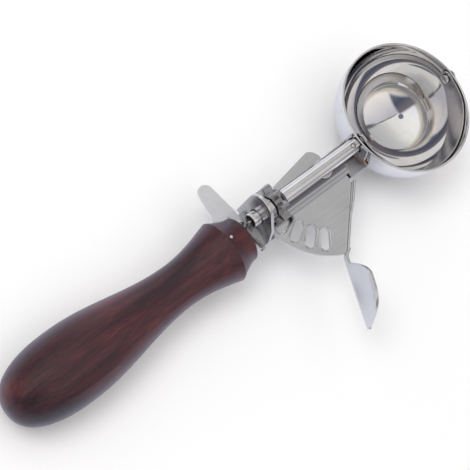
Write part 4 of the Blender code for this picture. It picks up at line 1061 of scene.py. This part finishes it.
def sunk_hole(name, radius, tail, spot):
    """Cutter for a hole that opens out below for a flush rivet tail."""
    profile = [
        (PLATE_BOTTOM - SHEET, 0), (PLATE_BOTTOM - SHEET, tail + GAP), (PLATE_BOTTOM, tail + GAP),
        (PLATE_BOTTOM + COUNTERSINK, radius + GAP), (PLATE_TOP + SHEET, radius + GAP), (PLATE_TOP + SHEET, 0),
    ]
    return turned(name, profile, None, 64, "Z", spot)


def make_frame_plate():
    """Lower strip, upright arch and tang, pressed from one sheet."""
    arch_front = COLLAR_LOW.x - GAP
    arch_rear = arch_front - ARCH_THICKNESS
    rear, front = HANDLE_FACE_X + GAP, BOWL_LOW.x / 2
    outline = [
        (rear, -ARCH_RIGHT_Y), (arch_front, -ARCH_RIGHT_Y), (BRACKET_REAR_X, -BRACKET_REACH),
        (front, -BRACKET_REACH), (front, BRACKET_BACK), (BRACKET_REAR_X, BRACKET_BACK),
        (arch_front, PLATE_LEFT_Y), (rear, PLATE_LEFT_Y),
    ]
    plate = prism("lower_strip", outline, PLATE_BOTTOM, PLATE_TOP)
    crown = (ARCH_LEFT_Y - ARCH_CROWN_RADIUS, PLATE_HIGH.z - ARCH_CROWN_RADIUS)
    arch = [(-ARCH_RIGHT_Y, PLATE_BOTTOM), (ARCH_LEFT_Y, PLATE_BOTTOM)]
    arch += arc(crown, ARCH_CROWN_RADIUS, 0, 152, 36)
    arch += [(ARCH_SHOULDER[0], AXIS_Z + ARCH_SHOULDER[1]), (-ARCH_RIGHT_Y, AXIS_Z - ARCH_SLOPE_DROP)]
    combine(plate, prism("arch", arch, arch_rear, arch_front, "YZ"), "UNION")
    combine(plate, tang_block("tang", -TANG_LENGTH, TANG_ROOT, TANG_HALF, SHEET / 2), "UNION")
    reach = BOWL_RADIUS + GAP
    room = half_round(reach, 64) + [(BOWL_RADIUS, reach), (BOWL_RADIUS, 0)]
    cut(
        plate,
        turned("bowl_room", room, None, 128, "Z", AXIS),
        bore("arch_bore", ROD_RADIUS + BEARING_GAP, arch_rear - SHEET, arch_front + SHEET, 96),
        sunk_hole("rivet_hole", RIVET_RADIUS, RIVET_TAIL, PIVOT),
        sunk_hole("rest_hole", REST_RIVET_RADIUS, REST_RIVET_TAIL, plan_middle("finger_rest_rivet")),
        drill("tang_hole", TANG_HOLE, 0, AXIS_Z, plan_middle("handle_pin")),
    )
    round_edges(plate, PLATE_EDGE)
    stand_for(plate, "frame", "frame_plate", SATIN)


def make_upper_strip():
    """Strip under the rod, turned up at the rear into a bearing plate with a side ear."""
    rear = STRIP_LOW.x
    bottom, top = STRIP_LOW.z, STRIP_TOP
    outline = [
        (rear, STRIP_LOW.y), (PIVOT_X + STRIP_STEP, STRIP_LOW.y), (PIVOT_X + STRIP_STEP, -STRIP_HALF),
        (STRIP_HIGH.x, -STRIP_HALF), (STRIP_HIGH.x, STRIP_HALF), (rear, STRIP_HALF),
    ]
    strip = prism("upper_bar", outline, bottom, top)
    plate = [(STRIP_LOW.y, bottom), (STRIP_HIGH.y, bottom)]
    plate += arc((STRIP_HIGH.y - EAR_ROUND, AXIS_Z - EAR_DROP), EAR_ROUND, 0, 90, 8)
    plate += arc((0, AXIS_Z), ROD_RADIUS + BEARING_GAP + SHEET * 1.2, 22, 190, 36)
    plate.append((STRIP_LOW.y, AXIS_Z - BEARING_SHOULDER_DROP))
    combine(strip, prism("bearing", plate, rear, rear + SHEET, "YZ"), "UNION")
    cut(strip, bore("bearing_bore", ROD_RADIUS + BEARING_GAP, rear - SHEET, rear + 2 * SHEET, 96))
    cut(strip, drill("bar_hole", PIVOT_HOLE, bottom - SHEET, top + SHEET, PIVOT))
    round_edges(strip, PLATE_EDGE)
    stand_for(strip, "frame", "upper_strip", STRIP)


def make_bracket():
    """Folded bracket between the strips: the frame's own shape with rounded folds, heat colours and a band of
    painted shade above the heat line.
    """
    bracket = link("bowl_saddle", frame["nodes"]["bowl_bracket"].data.copy())
    bm = bmesh.new()
    bm.from_mesh(bracket.data)
    bmesh.ops.remove_doubles(bm, verts=bm.verts, dist=2 * MERGE_DISTANCE)
    bmesh.ops.dissolve_limit(bm, angle_limit=math.radians(1), verts=bm.verts, edges=bm.edges)
    bm.to_mesh(bracket.data)
    bm.free()
    round_edges(bracket, BRACKET_EDGE, 2)
    stand_for(bracket, "frame", "bowl_bracket", TINTED_AND_SHADED)


def rivet_profile(low, high, radius, tail, under_head, head, crown):
    """Profile of a rivet: a flush tail, a shank and a head whose crown is given by its last points."""
    shank = [(low, 0), (low, tail), (PLATE_BOTTOM + COUNTERSINK, radius), (under_head, radius)]
    return shank + [(under_head, head)] + crown + [(high, 0)]


def make_rivets():
    """Pivot rivet, its washers and the finger rest's rivet."""
    low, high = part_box("lever_rivet")
    head = (high.x - low.x) / 2
    edge, hollow, lip = 0.0003, 0.0002, 0.00005
    crown = arc((high.z - edge, head - edge), edge, 90, 0, 6)
    crown += [(high.z, head * 0.86), (high.z - hollow, head * 0.74), (high.z - hollow, head * 0.66)]
    crown += [(high.z - lip, head * 0.56), (high.z, head * 0.4)]
    profile = rivet_profile(low.z, high.z, RIVET_RADIUS, RIVET_TAIL, STRIP_TOP + GAP, head, crown)
    rivet = turned("pivot_rivet", profile, POLISHED, 72, "Z", PIVOT)
    stand_for(rivet, "frame", "lever_rivet")
    for node, name in (("upper_washer", "top_spacer"), ("lower_washer", "bottom_spacer")):
        low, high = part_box(node)
        profile = ring_profile(PIVOT_HOLE, (high.x - low.x) / 2, low.z, high.z, 0.0001)
        stand_for(turned(name, profile, BRASS, 72, "Z", PIVOT), "frame", node)
    low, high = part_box("finger_rest_rivet")
    head = (high.x - low.x) / 2
    top = PLATE_TOP + GAP + SHEET + GAP
    crown = [(top + edge, head * 0.9), (high.z - lip, head * 0.6)]
    profile = rivet_profile(low.z, high.z, REST_RIVET_RADIUS, REST_RIVET_TAIL, top, head, crown)
    rivet = turned("rest_rivet", profile, POLISHED, 48, "Z", plan_middle("finger_rest_rivet"))
    stand_for(rivet, "frame", "finger_rest_rivet")


REST_REACH = 0.0106
REST_REAR_SHOULDER = 0.0004
REST_ROOT_WIDTH = 0.0088
REST_CLAMP_WIDTH = 0.0031
REST_RIVET_HEAD = 0.0015
REST_TIP_RADIUS = 0.0030
REST_SWEEP = 0.0046
REST_EDGE = 0.00025


def make_finger_rest():
    """Swept-back tongue with soft edges, clamped on the lower strip."""
    rear = HANDLE_FACE_X + GAP
    front = rear + REST_CLAMP_WIDTH
    root = front - REST_ROOT_WIDTH
    tip = (front - REST_SWEEP, ARCH_LEFT_Y + REST_REACH)
    outline = [(rear, -ARCH_RIGHT_Y), (front, -ARCH_RIGHT_Y), (front, ARCH_LEFT_Y)]
    outline += arc(tip, REST_TIP_RADIUS, 12, 168, 24)
    outline += [(root, ARCH_LEFT_Y + REST_REAR_SHOULDER), (root, 0), (rear, 0)]
    low = PLATE_TOP + GAP
    rest = prism("finger_tongue", outline, low, low + SHEET)
    cut(rest, turned("handle_room", handle_profile(GAP), None, 96, "X", HANDLE_PLACE, HANDLE_DROOP))
    spot = plan_middle("finger_rest_rivet")
    cut(rest, drill("tongue_hole", REST_RIVET_RADIUS + GAP, low - SHEET, low + 2 * SHEET, spot))
    round_edges(rest, REST_EDGE)
    # Its finish is a lighter, bluer copy of the sheet steel: painted light.
    stand_for(rest, "frame", "finger_rest", PALE_PAINTED_LIGHT)


# Handle

HANDLE_AXIS_Y = -0.0025
HANDLE_LENGTH = 0.0994
HANDLE_PIN_HOLE = 0.0008
HANDLE_HOLE_REACH = 0.02
HANDLE_FRONT_EDGE = 0.0010
NECK_RADIUS = 0.0086
NECK_LENGTH = 0.0014
NECK_POWER = 1.4
RIDGE_RADIUS = 0.0117
RIDGE_STATION = 0.0088
WAIST_RADIUS = 0.0081
WAIST_STATION = 0.0290
BELLY_RADIUS = 0.01355
BELLY_STATION = 0.0735
BUTT_POWER = 2.4
BUTT_STEPS = 48
HANDLE_FACE_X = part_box("finger_rest_rivet")[0].x + REST_RIVET_HEAD - REST_CLAMP_WIDTH / 2 - GAP
HANDLE_PLACE = (HANDLE_FACE_X, HANDLE_AXIS_Y, (PLATE_TOP + PLATE_BOTTOM) / 2)
DROOP = Matrix.Rotation(-HANDLE_DROOP, 4, "Y")

# Steps, stations and radii of the turned form, with the share of the way from one radius to the other
HANDLE_SECTIONS = (
    (24, NECK_LENGTH, RIDGE_STATION, NECK_RADIUS, RIDGE_RADIUS, lambda s: s ** NECK_POWER),
    (36, RIDGE_STATION, WAIST_STATION, WAIST_RADIUS, RIDGE_RADIUS, lambda s: 1 - math.sin(math.pi / 2 * s)),
    (48, WAIST_STATION, BELLY_STATION, WAIST_RADIUS, BELLY_RADIUS, lambda s: (1 - math.cos(math.pi * s)) / 2),
)


def handle_profile(grow):
    """Half outline of the turned handle, front face first."""
    edge = HANDLE_FRONT_EDGE
    points = [(grow, 0)] + arc((-edge + grow, NECK_RADIUS - edge + grow), edge, 0, 90, 8)
    for steps, start, end, low, high, way in HANDLE_SECTIONS:
        for step in range(1, steps + 1):
            share = step / steps
            points.append((-(start + (end - start) * share), low + (high - low) * way(share) + grow))
    for step in range(1, BUTT_STEPS + 1):
        share = math.sin(math.pi / 2 * step / BUTT_STEPS)
        radius = BELLY_RADIUS * (1 - share ** BUTT_POWER) ** (1 / BUTT_POWER)
        station = BELLY_STATION + (HANDLE_LENGTH - BELLY_STATION) * share
        points.append((-station, 0 if step == BUTT_STEPS else radius + grow))
    return points


def make_handle():
    """Turned wooden handle with a slot for the tang, and its cross pin."""
    handle = turned("turned_handle", handle_profile(0), WOOD, 144, "X", HANDLE_PLACE, HANDLE_DROOP)
    cut(handle, tang_block("tang_slot", -(TANG_LENGTH + GAP), SHEET, TANG_HALF + GAP, SHEET / 2 + GAP))
    low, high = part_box("handle_pin")
    leaning = Matrix.Translation((low + high) / 2) @ DROOP
    hole = drill("pin_hole", HANDLE_PIN_HOLE, -HANDLE_HOLE_REACH, HANDLE_HOLE_REACH)
    hole.data.transform(leaning)
    cut(handle, hole)
    stand_for(handle, "frame", "handle", WOOD)
    radius = (high.y - low.y) / 2
    half = (high.z - low.z - 2 * radius * math.sin(HANDLE_DROOP)) / math.cos(HANDLE_DROOP) / 2
    pin = domed_pin("handle_cross_pin", half, radius, 40)
    pin.data.transform(leaning)
    stand_for(pin, "frame", "handle_pin")


# Stage

FLOOR_SIZE = 6
FLOOR_SEEN = (0.98, 0.98, 0.99)
FLOOR_MIRRORED = (0.88, 0.91, 1.0)


def make_camera():
    """Camera at the photograph's viewing angle."""
    data = bpy.data.cameras.new("photo camera")
    data.lens = CAMERA_LENS
    data.sensor_width = CAMERA_SENSOR
    data.sensor_fit = "HORIZONTAL"
    data.clip_start = 0.01
    back = CAMERA_BACK.normalized()
    up = back.cross(CAMERA_RIGHT).normalized()
    right = up.cross(back).normalized()
    camera = link("photo camera", data)
    rows = [(right[i], up[i], back[i], CAMERA_PLACE[i]) for i in range(3)]
    camera.matrix_world = Matrix((*rows, (0, 0, 0, 1)))
    bpy.context.scene.camera = camera


def make_floor():
    """Pale matt floor that keeps the object's soft shadow, and looks cooler in the metal."""
    bm = bmesh.new()
    bmesh.ops.create_grid(bm, x_segments=1, y_segments=1, size=FLOOR_SIZE)
    floor = from_bmesh("floor", bm)
    material, graph, shader = new_material("pale floor")
    seen = graph.add("ShaderNodeLightPath").outputs["Is Camera Ray"]
    colour = graph.paint(FLOOR_MIRRORED, seen, FLOOR_SEEN)
    graph.set(shader, {"Base Color": colour, "Roughness": 0.9, "Specular IOR Level": 0.0})
    floor.data.materials.append(material)


# The room that the metal mirrors. Its places are parts of a direction: east is x, north is y and height is z.
WALL_COLOURS = (
    (0.00, (0.46, 0.46, 0.48)),
    (0.05, (0.20, 0.19, 0.19)),
    (0.10, (0.40, 0.38, 0.36)),
    (0.15, (0.13, 0.13, 0.13)),
    (0.21, (0.44, 0.41, 0.37)),
    (0.26, (0.15, 0.15, 0.15)),
    (0.34, (0.62, 0.56, 0.47)),
    (0.42, (0.24, 0.24, 0.25)),
    (0.50, (0.30, 0.31, 0.34)),
    (0.56, (0.66, 0.60, 0.50)),
)
WALL_WAVER = 0.11
WARM_CEILING = (
    (0.10, (0.90, 0.92, 0.97)),
    (0.24, (1.0, 1.0, 0.98)),
    (0.48, (0.93, 0.92, 0.88)),
    (0.62, (0.66, 0.66, 0.66)),
    (0.9, (0.50, 0.50, 0.50)),
)
COOL_CEILING = ((0.10, (0.98, 0.92, 0.86)), (0.24, (0.84, 0.82, 0.82)), (0.42, (0.62, 0.62, 0.68)))
CEILING_HEIGHT = (0.57, 0.64)
SEAM_ACROSS = (0.16, 1.0, 0.0)
SEAM_PLACE = 0.11
SEAM_WAVER = 0.016
# Dark lines along the ceiling's seam: how far from it, from where to where going east, and the colour
CRACKS = (
    ((0.022, 0.006), ((-0.40, -0.20), (0.72, 0.60)), (0.15, 0.15, 0.12)),
    ((0.085, 0.020), ((0.28, 0.56),), (0.17, 0.17, 0.18)),
)
# Edges of the dark figure: a direction, and where along it the figure begins and is full
FIGURE_EDGES = (
    ((1.0, 0.04, 0.0), -0.355, -0.455),
    ((0.10, 1.0, 0.0), 0.02, -0.10),
    ((0.70, 0.72, 0.0), -0.80, -0.70),
    ((0.0, 0.0, 1.0), 0.48, 0.56),
)
FIGURE_COLOURS = ((0.18, (0.20, 0.21, 0.25)), (0.34, (0.09, 0.11, 0.17)), (0.46, (0.20, 0.18, 0.20)))
HEAD = Vector((-0.39, 0.07, 0.92)).normalized()
HEAD_EDGE = (0.9958, 0.9978)
HEAD_COLOUR = (0.20, 0.21, 0.28)
# Windows: the middle, half the width and the soft edge in degrees, and the colour
WINDOWS = (
    ((0.50, 0.80, 0.33), 12, 5, (1.10, 1.10, 1.10)),
    ((0.50, -0.77, 0.40), 4, 12, (0.66, 0.63, 0.62)),
    ((0.90, 0.10, 0.42), 8, 8, (0.42, 0.38, 0.35)),
)
GROUND_COLOUR = (0.84, 0.84, 0.90)


def make_room(graph, direction):
    """Colours of the room that the metal mirrors: a split ceiling panel, a dark figure and dim walls."""
    east, north, height = graph.parts(direction)
    stretch = graph.add("ShaderNodeVectorMath", {0: direction, 1: (1.2, 1.2, 9.0)}, operation="MULTIPLY")
    waver = graph.noise(stretch.outputs["Vector"], 2.2, 5.0, 0.6, 0.3)
    level = graph.math("ADD", height, graph.remap(waver, -WALL_WAVER, WALL_WAVER))
    room = graph.ramp(level, WALL_COLOURS)
    warm = graph.ramp(graph.half_and_half(east), WARM_CEILING)
    cool = graph.ramp(graph.half_and_half(north), COOL_CEILING)
    seam = graph.math("ADD", graph.dot(direction, SEAM_ACROSS), SEAM_PLACE)
    panel = graph.paint(cool, graph.smooth(seam, -0.01, 0.02), warm)
    near_seam = graph.math("ADD", graph.math("ABSOLUTE", seam), graph.remap(waver, -SEAM_WAVER, SEAM_WAVER))
    for edge, ends, colour in CRACKS:
        crack = [graph.smooth(near_seam, *edge)] + [graph.smooth(east, *end) for end in ends]
        panel = graph.paint(panel, graph.product(crack), colour)
    room = graph.paint(room, graph.smooth(height, *CEILING_HEIGHT), panel)
    figure = [graph.smooth(graph.dot(direction, weights), *ends) for weights, *ends in FIGURE_EDGES]
    coat = graph.ramp(graph.half_and_half(north), FIGURE_COLOURS)
    shade = graph.paint(room, graph.product(figure), coat)
    shade = graph.paint(shade, graph.smooth(graph.dot(direction, HEAD), *HEAD_EDGE), HEAD_COLOUR)
    for place, wide, soft, colour in WINDOWS:
        near = graph.dot(direction, Vector(place).normalized())
        window = graph.smooth(near, math.cos(math.radians(wide + soft)), math.cos(math.radians(wide)))
        shade = graph.paint(shade, window, colour)
    return graph.paint(shade, graph.smooth(height, 0.0, -0.01), GROUND_COLOUR)


def make_world():
    """Soft studio light from the room that the metal mirrors."""
    world = bpy.data.worlds.new("studio")
    world.use_nodes = True
    bpy.context.scene.world = world
    graph = Graph(world.node_tree)
    direction = graph.add("ShaderNodeTexCoord").outputs["Generated"]
    graph.set(graph.nodes["Background"], {"Color": make_room(graph, direction), "Strength": 1.0})


# Lamps: name, place, target, size and energy
LAMPS = (
    ("key lamp", (-0.35, 0.25, 0.75), (-0.06, 0, 0), 0.35, 1.5),
    ("sky lamp", (0.0, 0.0, 1.3), (0, 0, 0), 1.6, 6.5),
)


def make_lamps():
    """Soft square lamps that the metal doesn't mirror."""
    for name, place, target, size, energy in LAMPS:
        data = bpy.data.lights.new(name, "AREA")
        data.energy = energy
        data.size = size
        lamp = link(name, data)
        lamp.location = place
        heading = Vector(target) - Vector(place)
        lamp.rotation_euler = heading.to_track_quat("-Z", "Y").to_euler()
        lamp.visible_glossy = False


def main():
    """Dress every piece and set the stage."""
    clean_scene()
    for make in (
        make_bowl, make_scraper, make_far_pin,
        make_rod, make_rod_pin, make_shaft, make_star, make_collar, make_spring, make_anchor,
        make_lever, make_slot_beads,
        make_frame_plate, make_upper_strip, make_bracket, make_rivets, make_finger_rest, make_handle,
        make_camera, make_floor, make_world, make_lamps,
    ):
        make()
    bpy.context.scene.view_settings.view_transform = "Standard"


main()
